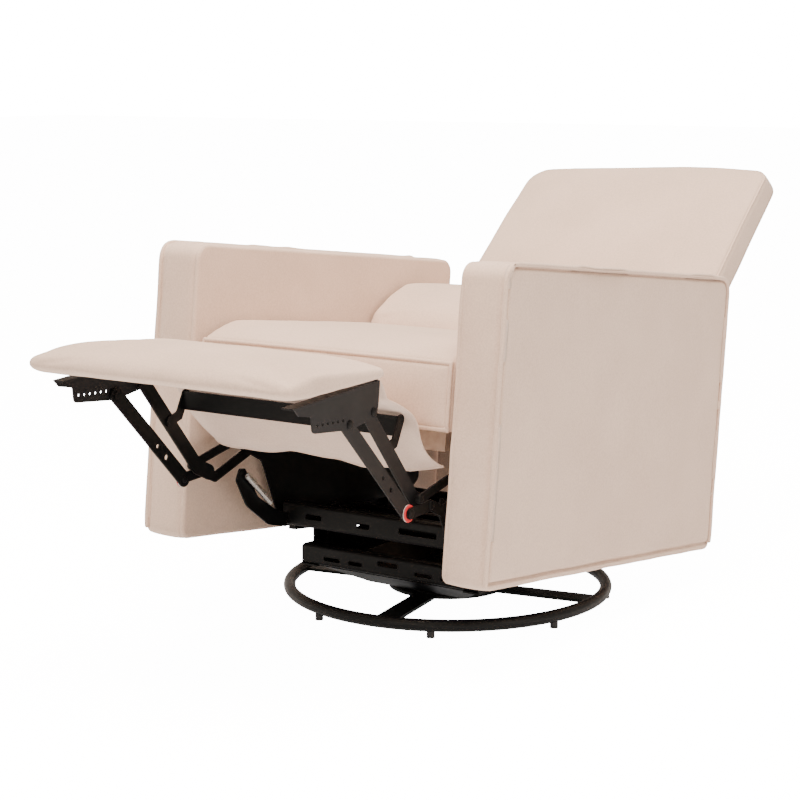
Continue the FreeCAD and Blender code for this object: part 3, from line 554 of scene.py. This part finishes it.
def build_arm(side_name, side):
    low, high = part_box(f"arm_{side_name}")
    inner, outer = sorted((abs(low.x), abs(high.x)))
    inner += ARM_SLIMMER_IN
    outer -= ARM_SLIMMER_OUT
    loop = rounded([
        (0, 0, ARM_CORNER_ROUND),
        (ARM_LENGTH, 0, ARM_CORNER_ROUND),
        (ARM_LENGTH, ARM_HEIGHT, ARM_REAR_ROUND),
        (0, ARM_HEIGHT, ARM_FRONT_ROUND),
    ], 0.006)
    rings = cap_rings(inner, ARM_EDGE, 0.002, -1)[::-1]
    turns = np.linspace(0, math.pi / 2, 7)[1:]
    for turn in turns:
        x = inner + ARM_EDGE * (1 - math.cos(turn))
        rings.append((x, ARM_EDGE * (1 - math.sin(turn)), 1.0))
    rings.append((inner + ARM_EDGE + 0.0012, 0.0014, 1.0))
    for part in np.linspace(0, 1, 15):
        x = inner + ARM_EDGE + 0.0024 + part * (outer - inner - 2 * ARM_EDGE - 0.0024)
        rings.append((x, -ARM_RIM_CROWN * math.sin(math.pi * part) ** 0.7, 1.0))
    edge = ARM_EDGE * 0.8
    for turn in turns:
        rings.append((outer - edge * (1 - math.sin(turn)), edge * (1 - math.cos(turn)), 1.0))
    rings += cap_rings(outer, edge, ARM_FACE_CROWN, 1)
    rings = [(side * x, inset, share) for x, inset, share in rings]
    vertices, faces = lofted(loop, rings)
    arm = make_piece(f"arm_upholstery_{side_name}", vertices, faces, CREAM,
                     "chair_frame", "cream_fabric")
    rumple(arm, 0.0016, 0.16, 3 + side)
    normals = outward(loop)
    creases = ((outer - 0.0005, -0.0060, 0.0080), (outer - 0.0088, 0.0, 0.0050),
               (inner + 0.009, 0.0, 0.0014))
    for x, lift, depth in creases:
        line = [(side * x, y, z) for y, z in loop + normals * lift if z > ARM_SEAM_FOOT]
        grooved(arm, [to_row(line)], ARM_CREASE_WIDTH, depth)
    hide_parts(f"arm_{side_name}")
    seam = [(side * (outer - 0.0016), y, z) for y, z in loop - normals * 0.0006]
    # the line starts under the arm, so that leaving its foot out keeps it in one run
    lowest = min(range(len(loop)), key=lambda k: abs(loop[k][0] - 0.30) + abs(loop[k][1]))
    seam = seam[lowest:] + seam[:lowest]
    sewn = [point for point in seam if point[2] > ARM_SEAM_FOOT]
    cord = eased(on_surface(arm, to_row(sewn), 0.0010), 4)
    welt(f"arm_welt_{side_name}", cord, "chair_frame", False, ARM_WELT)


# ---------------------------------------------------------------- cushions

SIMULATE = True
CUSHION_VOXEL = 0.006


def smoothed(value, low, high):
    """0 below low, 1 above high, and an easy slope between."""
    share = np.clip((value - low) / (high - low), 0.0, 1.0)
    return share * share * (3 - 2 * share)


def box_rings(half, round_over, face_inset=0.0):
    """Rings for a form from -half to half with rounded rims and closed ends."""
    rim = half - round_over
    start = [(-rim - round_over * math.sin(t), round_over * (1 - math.cos(t)) + face_inset, 1.0)
             for t in np.linspace(0, math.pi / 2, 7)]
    caps = [(-half, round_over + face_inset, share) for share in np.linspace(0.05, 0.97, 12)]
    across = [(x, 0.0, 1.0) for x in np.linspace(-rim, rim, 40)[1:-1]]
    first = caps + sorted(start)
    return first + across + [(-x, inset, share) for x, inset, share in first[::-1]]


def taken(places, frame_matrix):
    """An array of places, taken through a matrix."""
    matrix = np.array(frame_matrix)
    return places @ matrix[:3, :3].T + matrix[:3, 3]


def chair_places(piece):
    """A piece's points in the chair frame."""
    return taken(coordinates(piece.data), TO_CHAIR)


def shaped(piece, change):
    """Moves a piece's points in the chair frame: change takes and gives an array of places."""
    set_coordinates(piece.data, taken(change(chair_places(piece)), CHAIR))


def near_lines(places, lines, reach):
    """Which places lie within reach of any of the lines."""
    return distances(places, lines, reach / 2) < reach


def stuffed(piece, pinned, cap, pressure=4.0, seed=1, wrinkle=0.0012, size=0.11):
    """Fills a cushion: cloth blown up between its pinned points, then a little unevenness."""
    if SIMULATE:
        inflated(piece, pinned, pressure, cap)
    relaxed(piece)
    rumple(piece, wrinkle, size, seed)


# Seat: y and z of the boxing, the height that the stuffing adds, and how far it may reach.
SEAT_FRONT, SEAT_REAR = 0.008, 0.650
SEAT_LOW, SEAT_SEAM = 0.2545, 0.3755
SEAT_HALF = 0.2765
SEAT_CROWN = 0.032
SEAT_SIDE_LIMIT = 0.2800
SEAT_TOP_LIMIT = 0.4040


def build_seat():
    loop = rounded([
        (SEAT_FRONT, SEAT_LOW, 0.008),
        (SEAT_REAR, SEAT_LOW, 0.012),
        (SEAT_REAR, SEAT_SEAM, 0.022),
        (SEAT_FRONT, SEAT_SEAM, 0.012),
    ], 0.006)
    vertices, faces = lofted(loop, box_rings(SEAT_HALF, 0.010))
    seat = make_piece("seat_upholstery", vertices, faces, CREAM, "chair_frame", "cream_fabric")
    remeshed(seat, CUSHION_VOXEL, 3)

    def crowned(places):
        x, y, z = places.T
        top = smoothed(z, SEAT_SEAM - 0.016, SEAT_SEAM - 0.002)
        sides = 1 - np.abs(x / SEAT_HALF) ** 7
        behind = y - SEAT_FRONT
        sides = sides + (1 - sides) * np.clip((behind - 0.004) / 0.05, 0, 1) ** 0.6
        ends = np.clip((behind - 0.003) / 0.085, 0, 1) ** 0.6
        ends *= 1 - 0.30 * smoothed(y, 0.40, 0.54)
        face = smoothed(-y, -SEAT_FRONT - 0.02, -SEAT_FRONT)
        middle = np.clip(1 - ((z - 0.315) / 0.062) ** 2, 0, 1)
        moved = places.copy()
        moved[:, 2] += SEAT_CROWN * top * np.clip(sides, 0, 1) ** 0.8 * ends
        moved[:, 1] -= 0.0045 * face * middle * (1 - (x / SEAT_HALF) ** 6)
        return moved

    shaped(seat, crowned)
    corner = SEAT_HALF - 0.004
    front = SEAT_FRONT + 0.0015
    top_line, low_line = (to_row([(x, front, z) for x in np.linspace(-corner, corner, 90)])
                          for z in (SEAT_SEAM - 0.001, SEAT_LOW + 0.004))
    right_line, left_line = (to_row([(x, front, z) for z in np.linspace(SEAT_LOW, SEAT_SEAM, 24)])
                             for x in (-corner, corner))
    places = chair_places(seat)
    held = (np.abs(places[:, 0]) > SEAT_HALF - 0.012) | (places[:, 1] > 0.55)
    held |= places[:, 2] < SEAT_LOW + 0.01
    held |= near_lines(coordinates(seat.data), [top_line, low_line], 0.007)
    stuffed(seat, held, 0.012, seed=11)

    def settled(places):
        moved = places.copy()
        moved[:, 0] = np.clip(moved[:, 0], -SEAT_SIDE_LIMIT, SEAT_SIDE_LIMIT)
        limit = SEAT_TOP_LIMIT + 0.019 * (1 - smoothed(moved[:, 1], 0.44, 0.55)) - 0.006
        over = np.maximum(moved[:, 2] - limit, 0)
        moved[:, 2] = np.where(over > 0, limit + 0.006 * np.tanh(over / 0.006), moved[:, 2])
        return moved

    shaped(seat, settled)
    seams = {"top": top_line, "bottom": low_line, "left": left_line, "right": right_line}
    grooved(seat, list(seams.values()), 0.0065, 0.0035)
    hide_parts("seat_cushion")
    for name, line in seams.items():
        welt(f"seat_welt_{name}", on_surface(seat, line, 0.0016), "chair_frame")


# Lumbar pillow
PILLOW_HALF = 0.2755
PILLOW_SIDE_LIMIT = 0.2785


def build_pillow():
    loop = rounded([
        (0.5340, 0.3960, 0.004),
        (0.5460, 0.4300, 0.030),
        (0.5950, 0.4650, 0.070),
        (0.6550, 0.4945, 0.045),
        (0.8500, 0.4900, 0.040),
        (0.8860, 0.4500, 0.030),
        (0.8680, 0.3975, 0.018),
    ], 0.006)
    vertices, faces = lofted(loop, box_rings(PILLOW_HALF, 0.014, 0.002))
    pillow = make_piece("pillow_upholstery", vertices, faces, CREAM, "pillow", "cream_fabric")
    remeshed(pillow, 0.005, 3)
    places = chair_places(pillow)
    held = (places[:, 2] < 0.405) | (np.abs(places[:, 0]) > PILLOW_HALF - 0.02)
    stuffed(pillow, held, 0.006, 3.0, seed=23, wrinkle=0.0018, size=0.16)

    def settled(places):
        moved = places.copy()
        moved[:, 0] = np.clip(moved[:, 0], -PILLOW_SIDE_LIMIT, PILLOW_SIDE_LIMIT)
        moved[:, 2] = np.clip(moved[:, 2], 0.3965, 0.4960)
        moved[:, 1] = np.minimum(moved[:, 1], 0.889)
        return moved

    shaped(pillow, settled)
    seam = [(x, 0.586, 0.4488) for x in np.linspace(-0.262, 0.262, 90)]
    grooved(pillow, [to_row(seam)], 0.006, 0.0012)
    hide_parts("lumbar_pillow")


# Backrest: (y, z) of its front and rear lines at BACK_STEPS, which are shares of BACK_TALL.
BACK_FRONT = ((0.811, 0.334), (0.888, 0.432), (0.976, 0.546), (1.078, 0.662), (1.192, 0.781),
              (1.213, 0.803))
BACK_REAR = ((0.931, 0.284), (0.980, 0.398), (1.030, 0.500), (1.132, 0.612), (1.256, 0.749),
             (1.277, 0.772))
BACK_STEPS = (0.0, 0.23, 0.46, 0.73, 1.0, 1.05)
BACK_TALL = 0.589
BACK_HALF = 0.2645
BACK_WIDE_HALF = 0.2915
BACK_WIDENS = 0.250
BACK_IN = np.array([0.0, 0.765, -0.644])
BACK_UP = np.array([0.0, 0.644, 0.765])
BACK_FOOT = np.array([0.0, *BACK_FRONT[0]])
BACK_RIM = 0.012


def back_place(x, up, share):
    """A place at x, up the backrest, and share of its depth from the front to the rear line."""
    front, rear = (np.array([np.interp(up / BACK_TALL, BACK_STEPS, [p[k] for p in line])
                             for k in (0, 1)]) for line in (BACK_FRONT, BACK_REAR))
    return (x, *(front + (rear - front) * share))


def faced_cap(rim_line, start, vertices, share):
    """Closes an end of the backrest with rings that follow its bent face."""
    count = len(rim_line)
    faces = []
    previous = start
    for fraction in np.linspace(0.9, 0.0, 10):
        first = len(vertices)
        vertices.extend(back_place(x * fraction, v, share) for x, v in rim_line)
        faces.extend(band(previous, first, count))
        previous = first
    return faces


def back_loop(step=0.006):
    """The outline seen from the front: narrow between the arms, wide above them."""
    tall = BACK_TALL - 0.008
    loop = rounded([
        (-BACK_HALF, 0.004, 0.020),
        (BACK_HALF, 0.004, 0.020),
        (BACK_HALF, BACK_WIDENS, 0.010),
        (BACK_WIDE_HALF, BACK_WIDENS, 0.012),
        (BACK_WIDE_HALF, tall, 0.030),
        (-BACK_WIDE_HALF, tall, 0.046),
        (-BACK_WIDE_HALF - 0.008, BACK_WIDENS, 0.012),
        (-BACK_HALF, BACK_WIDENS, 0.010),
    ], step)
    x, up = loop.T
    arch = 0.013 * (1 - ((x - 0.05) / BACK_WIDE_HALF) ** 2) + 0.010 * smoothed(x, -0.10, 0.17)
    return np.column_stack([x, up + arch * smoothed(up, 0.44, tall - 0.01)])


def build_backrest():
    loop = back_loop()
    normals = outward(loop)
    vertices, faces = [], []
    count = len(loop)
    turns = np.linspace(0, math.pi / 2, 6)
    layers = [(0.16 * (1 - math.sin(t)), BACK_RIM * (1 - math.cos(t))) for t in turns[::-1]]
    layers += [(share, 0.0) for share in np.linspace(0.16, 0.84, 12)[1:-1]]
    layers += [(1 - share, inset) for share, inset in layers[5::-1]]
    for share, inset in layers:
        vertices.extend(back_place(x, v, share) for x, v in loop - normals * inset)
    for ring in range(len(layers) - 1):
        faces.extend(band(ring * count, (ring + 1) * count, count))
    for ring, share in ((0, 0.0), (len(layers) - 1, 1.0)):
        faces.extend(faced_cap(loop - normals * BACK_RIM, ring * count, vertices, share))
    back = make_piece("backrest_upholstery", vertices, faces, CREAM, "back", "cream_fabric")
    remeshed(back, CUSHION_VOXEL, 4)

    def crowned(places):
        x = places[:, 0]
        up = (places - BACK_FOOT) @ BACK_UP
        depths = [(np.array([0.0, *point]) - BACK_FOOT) @ BACK_IN for point in BACK_FRONT]
        deep = (places - BACK_FOOT) @ BACK_IN - np.interp(up / BACK_TALL, BACK_STEPS, depths)
        face = 1 - smoothed(deep, 0.004, 0.020)
        across = np.clip(1 - np.abs(x / BACK_WIDE_HALF) ** 3.5, 0, 1)
        bulge = across * np.clip(1 - np.abs(up / BACK_TALL * 2 - 1) ** 3.5, 0, 1)
        return places - np.outer(0.008 * bulge * face, BACK_IN)

    shaped(back, crowned)
    fine = back_loop(0.004)
    front_seam = to_row([back_place(x, v, 0.07) for x, v in fine])
    rear_seam = to_row([back_place(x, v, 0.93) for x, v in fine])
    places = chair_places(back)
    up = (places - BACK_FOOT) @ BACK_UP
    held = near_lines(coordinates(back.data), [front_seam, rear_seam], 0.008)
    held |= (up < 0.24) | (np.abs(places[:, 0]) > BACK_WIDE_HALF - 0.004)
    stuffed(back, held, 0.007, 4.0, seed=31, wrinkle=0.0014, size=0.15)
    grooved(back, [front_seam, rear_seam], 0.0055, 0.0026)
    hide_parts("backrest")
    for name, line in (("front", front_seam), ("rear", rear_seam)):
        welt(f"backrest_welt_{name}", on_surface(back, line, 0.0002), "back", True, 0.0024)


# Footrest pad
PAD_HALF = 0.2745
PAD_SIDE_LIMIT = 0.2765


def pad_bottom(y):
    """Height of the pad's under side."""
    return np.interp(y, (-0.44, -0.405, -0.36, -0.17), (0.324, 0.3165, 0.3210, 0.350))


def bracket_top(y):
    """Height of the bracket flanges that carry the pad."""
    return np.interp(y, (-0.405, -0.392, -0.168), (0.3030, 0.3045, 0.3459))


def build_pad():
    loop = rounded([
        (-0.4400, 0.3260, 0.012),
        (-0.4300, 0.3480, 0.024),
        (-0.3700, 0.3690, 0.080),
        (-0.1860, 0.3745, 0.014),
        (-0.1745, 0.3500, 0.006),
        (-0.3600, 0.3215, 0.200),
        (-0.4190, 0.3165, 0.018),
    ], 0.005)
    vertices, faces = lofted(loop, box_rings(PAD_HALF, 0.009, 0.001))
    pad = make_piece("footrest_upholstery", vertices, faces, CREAM, "footrest", "cream_fabric")
    remeshed(pad, 0.005, 4)

    def tapered(places):
        x, y, z = places.T
        tall = np.maximum(z - pad_bottom(y), 0)
        near_end = smoothed(np.abs(x), 0.185, PAD_HALF)
        crown = 0.005 * (1 - (x / PAD_HALF) ** 2) * smoothed(tall, 0.02, 0.045)
        moved = places.copy()
        moved[:, 2] += crown - 0.18 * near_end ** 2 * tall
        return moved

    shaped(pad, tapered)
    places = chair_places(pad)
    held = (places[:, 2] < pad_bottom(places[:, 1]) + 0.006)
    held |= np.abs(places[:, 0]) > PAD_HALF - 0.006
    stuffed(pad, held, 0.006, 3.0, seed=41, wrinkle=0.0016, size=0.12)

    def settled(places):
        moved = places.copy()
        moved[:, 0] = np.clip(moved[:, 0], -PAD_SIDE_LIMIT, PAD_SIDE_LIMIT)
        moved[:, 2] = np.maximum(moved[:, 2], bracket_top(moved[:, 1]))
        return moved

    shaped(pad, settled)
    ends = [to_row([(s * (PAD_HALF - 0.003), *point) for point in loop]) for s in (-1, 1)]
    grooved(pad, ends, 0.005, 0.0016)
    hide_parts("footrest_pad")


# Curtain between the seat and the footrest
CURTAIN_LINE = [(-0.178, 0.350), (-0.163, 0.337), (-0.147, 0.305), (-0.110, 0.300),
                (-0.076, 0.292), (-0.053, 0.277), (-0.031, 0.242), (0.004, 0.198), (0.030, 0.182)]
CURTAIN_HALF = 0.256
CURTAIN_COLUMNS = 130


def build_curtain():
    rough = np.array(CURTAIN_LINE)
    stops = np.linspace(0, len(rough) - 1, 200)
    soft = np.column_stack([np.interp(stops, range(len(rough)), rough[:, k]) for k in (0, 1)])
    for _ in range(60):
        soft[1:-1] = (soft[:-2] + 2 * soft[1:-1] + soft[2:]) / 4
    line = even_steps(soft, 0.004)
    ahead = np.gradient(line, axis=0)
    ahead /= np.linalg.norm(ahead, axis=1)[:, None]
    normals = np.column_stack([-ahead[:, 1], ahead[:, 0]])
    rows, columns = len(line), CURTAIN_COLUMNS
    vertices, faces = [], []
    for i, (point, normal) in enumerate(zip(line, normals)):
        down = i / (rows - 1)
        left = -CURTAIN_HALF + 0.010 * math.sin(7.5 * down + 0.6) * down + 0.004
        right = CURTAIN_HALF - 0.009 * math.sin(9.5 * down + 0.2) * down - 0.004
        for k in range(columns):
            across = k / (columns - 1)
            x = left + (right - left) * across
            lift = down ** 1.3 * (0.0045 * math.sin(11.0 * across + 1.7 + 1.5 * down)
                                  + 0.0022 * math.sin(29.0 * across + 4.0 * down))
            uneven = noise.fractal(Vector((x * 9, down * 3.0, 2.0)), 1.0, 2.0, 3) * 0.004
            edge = math.exp(-min(across, 1 - across) * 22) * 0.007 * math.sin(8 * down)
            y, z = point + normal * (lift + uneven * down + edge)
            vertices.append((x, y, z))
    for i in range(rows - 1):
        for k in range(i * columns, i * columns + columns - 1):
            faces.append((k, k + 1, k + columns + 1, k + columns))
    curtain = make_piece("curtain_cloth", vertices, faces, LINING, "chair_frame", "cream_fabric")
    body = curtain.modifiers.new("Thickness", "SOLIDIFY")
    body.thickness = 0.0012
    body.offset = 0.0
    applied(curtain)
    hem = [vertices[(rows - 2) * columns + k] for k in range(columns)]
    fold = swept(even_steps(to_row(hem), 0.005), 0.0022, 10)
    hem_piece = make_piece("curtain_hem", *fold, LINING, "chair_frame", "cream_fabric",
                           Matrix.Identity(4))
    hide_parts("gap_curtain")
    for piece in (curtain, hem_piece):
        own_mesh(piece)


# Rear panel
PANEL_HALF = 0.2755
PANEL_LOW, PANEL_HIGH = 0.021, 0.2345
PANEL_FRONT, PANEL_REAR = 0.8325, 0.8515
PANEL_FRONT_ROUND, PANEL_REAR_ROUND = 0.006, 0.009
PANEL_CROWN = 0.004


def build_rear_panel():
    """The padded board that closes the back of the body between the arms."""
    loop = rounded([(-PANEL_HALF, PANEL_LOW, 0.012), (PANEL_HALF, PANEL_LOW, 0.012),
                    (PANEL_HALF, PANEL_HIGH, 0.014), (-PANEL_HALF, PANEL_HIGH, 0.014)], 0.006)
    turns = np.linspace(0, math.pi / 2, 6)
    rings = [(PANEL_FRONT, PANEL_FRONT_ROUND, share) for share in np.linspace(0.05, 0.96, 12)]
    rings += [(PANEL_FRONT + PANEL_FRONT_ROUND * (1 - math.cos(t)),
               PANEL_FRONT_ROUND * (1 - math.sin(t)), 1.0) for t in turns]
    rings += [(PANEL_REAR - PANEL_REAR_ROUND * (1 - math.sin(t)),
               PANEL_REAR_ROUND * (1 - math.cos(t)), 1.0) for t in turns]
    rings += [(PANEL_REAR + PANEL_CROWN * (1 - share ** 2), PANEL_REAR_ROUND, share)
              for share in np.linspace(0.97, 0.05, 22)]
    vertices, faces = lofted(loop, rings)
    vertices = [(x, y, z) for y, x, z in vertices]
    panel = make_piece("rear_panel_upholstery", vertices, faces, CREAM,
                       "chair_frame", "cream_fabric")
    rumple(panel, 0.0012, 0.12, 51)
    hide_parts("rear_panel")
    edge = [(x, PANEL_REAR - 0.0003, z) for x, z in loop - outward(loop) * 0.0035]
    welt("rear_panel_welt", to_row(edge), "chair_frame", True, 0.0028)


def build_tab():
    """A pull of folded webbing that bulges a little between its ends."""
    points = points_of("release_tab")
    (x0, y0, z0), (x1, y1, z1) = points.min(axis=0), points.max(axis=0)
    middle = (x0 + x1) / 2
    vertices, faces = [], []
    rows = 46
    for i in range(rows):
        up = i / (rows - 1)
        z = z0 + (z1 - z0) * up
        half = (y1 - y0) / 2 * (1 - 0.012 * math.sin(9 * up) ** 2)
        gap = 0.0003 + 0.0007 * math.sin(math.pi * min(up * 1.15, 1)) ** 0.7
        y_low, y_high = (y0 + y1) / 2 - half, (y0 + y1) / 2 + half
        x_low, x_high = middle - gap - 0.0004, middle + gap
        vertices.extend([(x_low, y_low, z), (x_high, y_low, z),
                         (x_high, y_high, z), (x_low, y_high, z)])
    for i in range(rows - 1):
        faces.extend(band(4 * i, 4 * i + 4, 4))
    faces += [(0, 1, 2, 3), (4 * rows - 4, 4 * rows - 3, 4 * rows - 2, 4 * rows - 1)]
    tab = make_piece("tab_strap", vertices, faces, WEBBING, "release_tab", "cream_fabric")
    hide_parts("release_tab")


# ---------------------------------------------------------------- steel details

COIL_PITCH = 0.0034
COIL_RADIUS = 0.0048
COIL_WIRE = 0.00125
COIL_STEPS = 12


def build_tension_springs():
    """A coil on each side, along the whole length of its CAD spring."""
    points = points_of("tension_springs")
    parts = []
    for side in SIDES.values():
        mine = points[points[:, 0] * side > 0]
        middle = mine.mean(axis=0)
        axis = np.linalg.svd(mine - middle, full_matrices=False)[2][0]
        reach = (mine - middle) @ axis
        start, stop = middle + axis * reach.min(), middle + axis * reach.max()
        first = unit(np.cross(axis, (1.0, 0.0, 0.0)))
        second = np.cross(axis, first)
        length = np.linalg.norm(stop - start)
        count = round(length / COIL_PITCH) * COIL_STEPS
        line = []
        for k in range(count + 1):
            angle = 2 * math.pi * k / COIL_STEPS
            spoke = math.cos(angle) * first + math.sin(angle) * second
            line.append(start + (stop - start) * (k / count) + COIL_RADIUS * spoke)
        parts.append(swept(line, COIL_WIRE, 6))
    springs = make_piece("tension_coils", *merged(parts), SPRING_WIRE,
                         "chair_frame", "spring_steel")
    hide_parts("tension_springs")


def dome(centre, side, radius, height, sides=20, rings=6):
    """A rivet or bolt head that stands on a plate and faces side, along x."""
    start, y, z = centre

    def circle(x, r):
        return [(x, y + r * math.cos(a), z + r * math.sin(a))
                for a in np.linspace(0, 2 * math.pi, sides, endpoint=False)]

    vertices, faces = [], []
    for ring in range(rings):
        turn = math.pi / 2 * ring / rings
        x = start + side * height * (0.25 + 0.75 * math.sin(turn))
        vertices.extend(circle(x, radius * math.cos(turn) ** 0.8))
    vertices.append((start + side * height, y, z))
    foot = len(vertices)
    vertices.extend(circle(start, radius))
    for ring in range(rings - 1):
        faces.extend(band(ring * sides, (ring + 1) * sides, sides))
    top = rings * sides
    last = top - sides
    faces.extend((last + k, last + (k + 1) % sides, top) for k in range(sides))
    faces.extend(band(foot, 0, sides))
    return vertices, faces


# Outer faces of the outer links and of the side plates, and inner face of the front links.
LINK_FACE = 0.2522
SIDE_PLATE_FACE = 0.2592
FRONT_LINK_FACE = 0.2418
KNEE = (-0.0523, 0.1196)
RIVETS = {
    "ground_link": [KNEE, (0.0085, 0.1302)],
    "footrest": [(-0.2436, 0.2751), (-0.1797, 0.2936)],
    "upper_link": [(-0.0265, 0.1427)],
}
SIDE_PLATE_RIVETS = ((0.1773, 0.1806), (0.1379, 0.1980), (0.700, 0.100))
# Spans along x of the knee's parts, and the radii of their rims and holes.
KNEE_FLANGE = (0.2452, 0.2469)
KNEE_CORE = (0.2412, 0.2534)
KNEE_WASHERS = ((0.2470, 0.2478), (0.2480, 0.2488))
KNEE_RIM, KNEE_HOLE = 0.0150, 0.0042


def build_rivets():
    for kind, spots in RIVETS.items():
        for side_name, side in SIDES.items():
            body = kind if kind == "footrest" else f"{kind}_{side_name}"
            parts = [dome((side * LINK_FACE, y, z), side, 0.0078, 0.0028) for y, z in spots]
            make_piece(f"rivets_{kind}_{side_name}", *merged(parts), BLACK_STEEL,
                       body, "black_steel")
    for side_name, side in SIDES.items():
        parts = [dome((side * SIDE_PLATE_FACE, y, z), side, 0.009, 0.003)
                 for y, z in SIDE_PLATE_RIVETS]
        make_piece(f"rivets_side_plate_{side_name}", *merged(parts), BLACK_STEEL,
                   "chair_frame", "black_steel")
        head = dome((side * FRONT_LINK_FACE, *KNEE), -side, 0.0068, 0.0022)
        make_piece(f"rivets_knee_{side_name}", *head, BLACK_STEEL,
                   f"front_link_{side_name}", "black_steel")


def knee_ring(side, near, far, outer, inner):
    """A flat washer or bush flange round the knee's pin, with softly rounded rims."""
    x_low, x_high = sorted((side * near, side * far))
    y, z = KNEE
    sides = 40
    edge = min(0.0006, (x_high - x_low) / 3)
    profile = [(x_low, inner), (x_low, outer - edge), (x_low + edge, outer), (x_high - edge, outer),
               (x_high, outer - edge), (x_high, inner)]
    vertices, faces = [], []
    for a in np.linspace(0, 2 * math.pi, sides, endpoint=False):
        vertices.extend((x, y + r * math.cos(a), z + r * math.sin(a)) for x, r in profile)
    count = len(profile)
    for k in range(sides):
        faces.extend(band(k * count, (k + 1) % sides * count, count))
    return vertices, faces


def build_knees():
    """From the front link outwards: a pale bush and two thin red washers under the outer link."""
    for side_name, side in SIDES.items():
        body = f"front_link_{side_name}"
        flange = knee_ring(side, *KNEE_FLANGE, KNEE_RIM, KNEE_HOLE)
        core = knee_ring(side, *KNEE_CORE, 0.0039, 0.0012)
        bush = make_piece(f"knee_bearing_{side_name}", *merged([flange, core]), NYLON,
                          body, "pale_nylon")
        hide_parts(f"knee_bush_{side_name}")
        discs = [knee_ring(side, *span, KNEE_RIM, KNEE_HOLE) for span in KNEE_WASHERS]
        washers = make_piece(f"knee_red_washers_{side_name}", *merged(discs), RED,
                             body, "red_washer")
        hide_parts(f"knee_washer_{side_name}")


# ---------------------------------------------------------------- camera, light and floor

# The camera's place and turn follow the straight edges and the base ring of the photograph.
CAMERA_PLACE = (2.0376, -3.1338, 1.0154)
CAMERA_YAW = math.radians(34.46)
CAMERA_DIP = math.radians(9.58)
CAMERA_LENS = 88.1
# Strengths of the fill light, and of the white that the camera alone sees behind and below.
STUDIO_FILL = 0.82
WARM = (1.0, 0.87, 0.75)
BACKDROP_GLOW = 30.0
FLOOR_GLOW = 14.0


def build_camera():
    camera = bpy.data.objects.new("camera", bpy.data.cameras.new("camera"))
    camera.data.lens = CAMERA_LENS
    camera.location = CAMERA_PLACE
    camera.rotation_euler = (math.pi / 2 - CAMERA_DIP, 0, CAMERA_YAW)
    bpy.context.scene.collection.objects.link(camera)
    bpy.context.scene.camera = camera


def area_light(name, place, target, size, power):
    light = bpy.data.lights.new(name, "AREA")
    light.shape = "DISK"
    light.size = size
    light.energy = power
    light.color = WARM
    lamp = bpy.data.objects.new(name, light)
    lamp.location = place
    lamp.rotation_euler = (Vector(target) - Vector(place)).to_track_quat("-Z", "Y").to_euler()
    bpy.context.scene.collection.objects.link(lamp)


def build_studio():
    world = bpy.data.worlds.new("studio")
    world.use_nodes = True
    tree = world.node_tree
    sky = tree.nodes["Background"]
    sky.inputs["Color"].default_value = (*WARM, 1.0)
    sky.inputs["Strength"].default_value = STUDIO_FILL
    seen = tree.nodes.new("ShaderNodeBackground")
    seen.inputs["Strength"].default_value = BACKDROP_GLOW
    kind = tree.nodes.new("ShaderNodeLightPath")
    both = tree.nodes.new("ShaderNodeMixShader")
    tree.links.new(kind.outputs["Is Camera Ray"], both.inputs[0])
    tree.links.new(sky.outputs[0], both.inputs[1])
    tree.links.new(seen.outputs[0], both.inputs[2])
    tree.links.new(both.outputs[0], tree.nodes["World Output"].inputs["Surface"])
    bpy.context.scene.world = world
    area_light("top_light", (0.3, -0.6, 3.2), (0, 0, 0.4), 2.4, 225)
    area_light("front_light", (0.6, -4.0, 2.0), (0, 0, 0.5), 2.0, 16)
    area_light("side_light", (4.0, -0.6, 1.8), (0, 0, 0.5), 2.0, 22)

    floor_mesh = bpy.data.meshes.new("floor")
    reach = 30.0
    corners = [(-reach, -reach, 0), (reach, -reach, 0), (reach, reach, 0), (-reach, reach, 0)]
    floor_mesh.from_pydata(corners, [], [(0, 1, 2, 3)])
    floor = bpy.data.objects.new("floor", floor_mesh)
    floor.location.z = -0.0005
    pale = Shader("pale_floor", roughness=0.9)
    pale.surface.inputs["Base Color"].default_value = (0.9, 0.9, 0.9, 1)
    pale.surface.inputs["Emission Color"].default_value = (1.0, 1.0, 1.0, 1)
    kind = pale.add("ShaderNodeLightPath")
    pale.put(pale.surface.inputs["Emission Strength"],
             pale.maths("MULTIPLY_ADD", kind.outputs["Is Camera Ray"], FLOOR_GLOW, 0.4))
    floor_mesh.materials.append(pale.material)
    bpy.context.scene.collection.objects.link(floor)


# ---------------------------------------------------------------- CAD nodes

NODE_MATERIALS = {
    "base_ring": RING_STEEL,
    "glide_feet": BLACK_PLASTIC,
    "swivel_bearing": ZINC,
    "swivel_spindle": ZINC,
    "frame_pins": ZINC,
    "arm_boards": BIRCH,
    "seat_rails": RAIL_BOARD,
    "seat_springs": SPRING_WIRE,
    "tension_springs": SPRING_WIRE,
    # The near-side front and rear links take the grey coat as painted light, lighter than their far
    # twins, which keep the black coat.
    "footrest_brackets": GREY_COAT_AND_LIT_LINK_PAINT,
    "front_link_left": GREY_COAT_AND_LIT_LINK_PAINT,
    "rear_link_left": GREY_COAT_AND_LIT_LINK_PAINT,
    "knee_washer_left": RED,
    "knee_washer_right": RED,
    "knee_bush_left": NYLON,
    "knee_bush_right": NYLON,
    "release_tab": WEBBING,
}


def dress_nodes():
    for name, node in nodes.items():
        material = NODE_MATERIALS.get(name, BLACK_STEEL)
        if not node.data.materials:
            node.data.materials.append(material)
        for index in range(len(node.material_slots)):
            node.material_slots[index].material = material


dress_nodes()
for one_name, one_side in SIDES.items():
    build_arm(one_name, one_side)
build_seat()
build_pillow()
build_backrest()
build_pad()
build_curtain()
build_rear_panel()
build_tab()
build_tension_springs()
build_rivets()
build_knees()
build_camera()
build_studio()
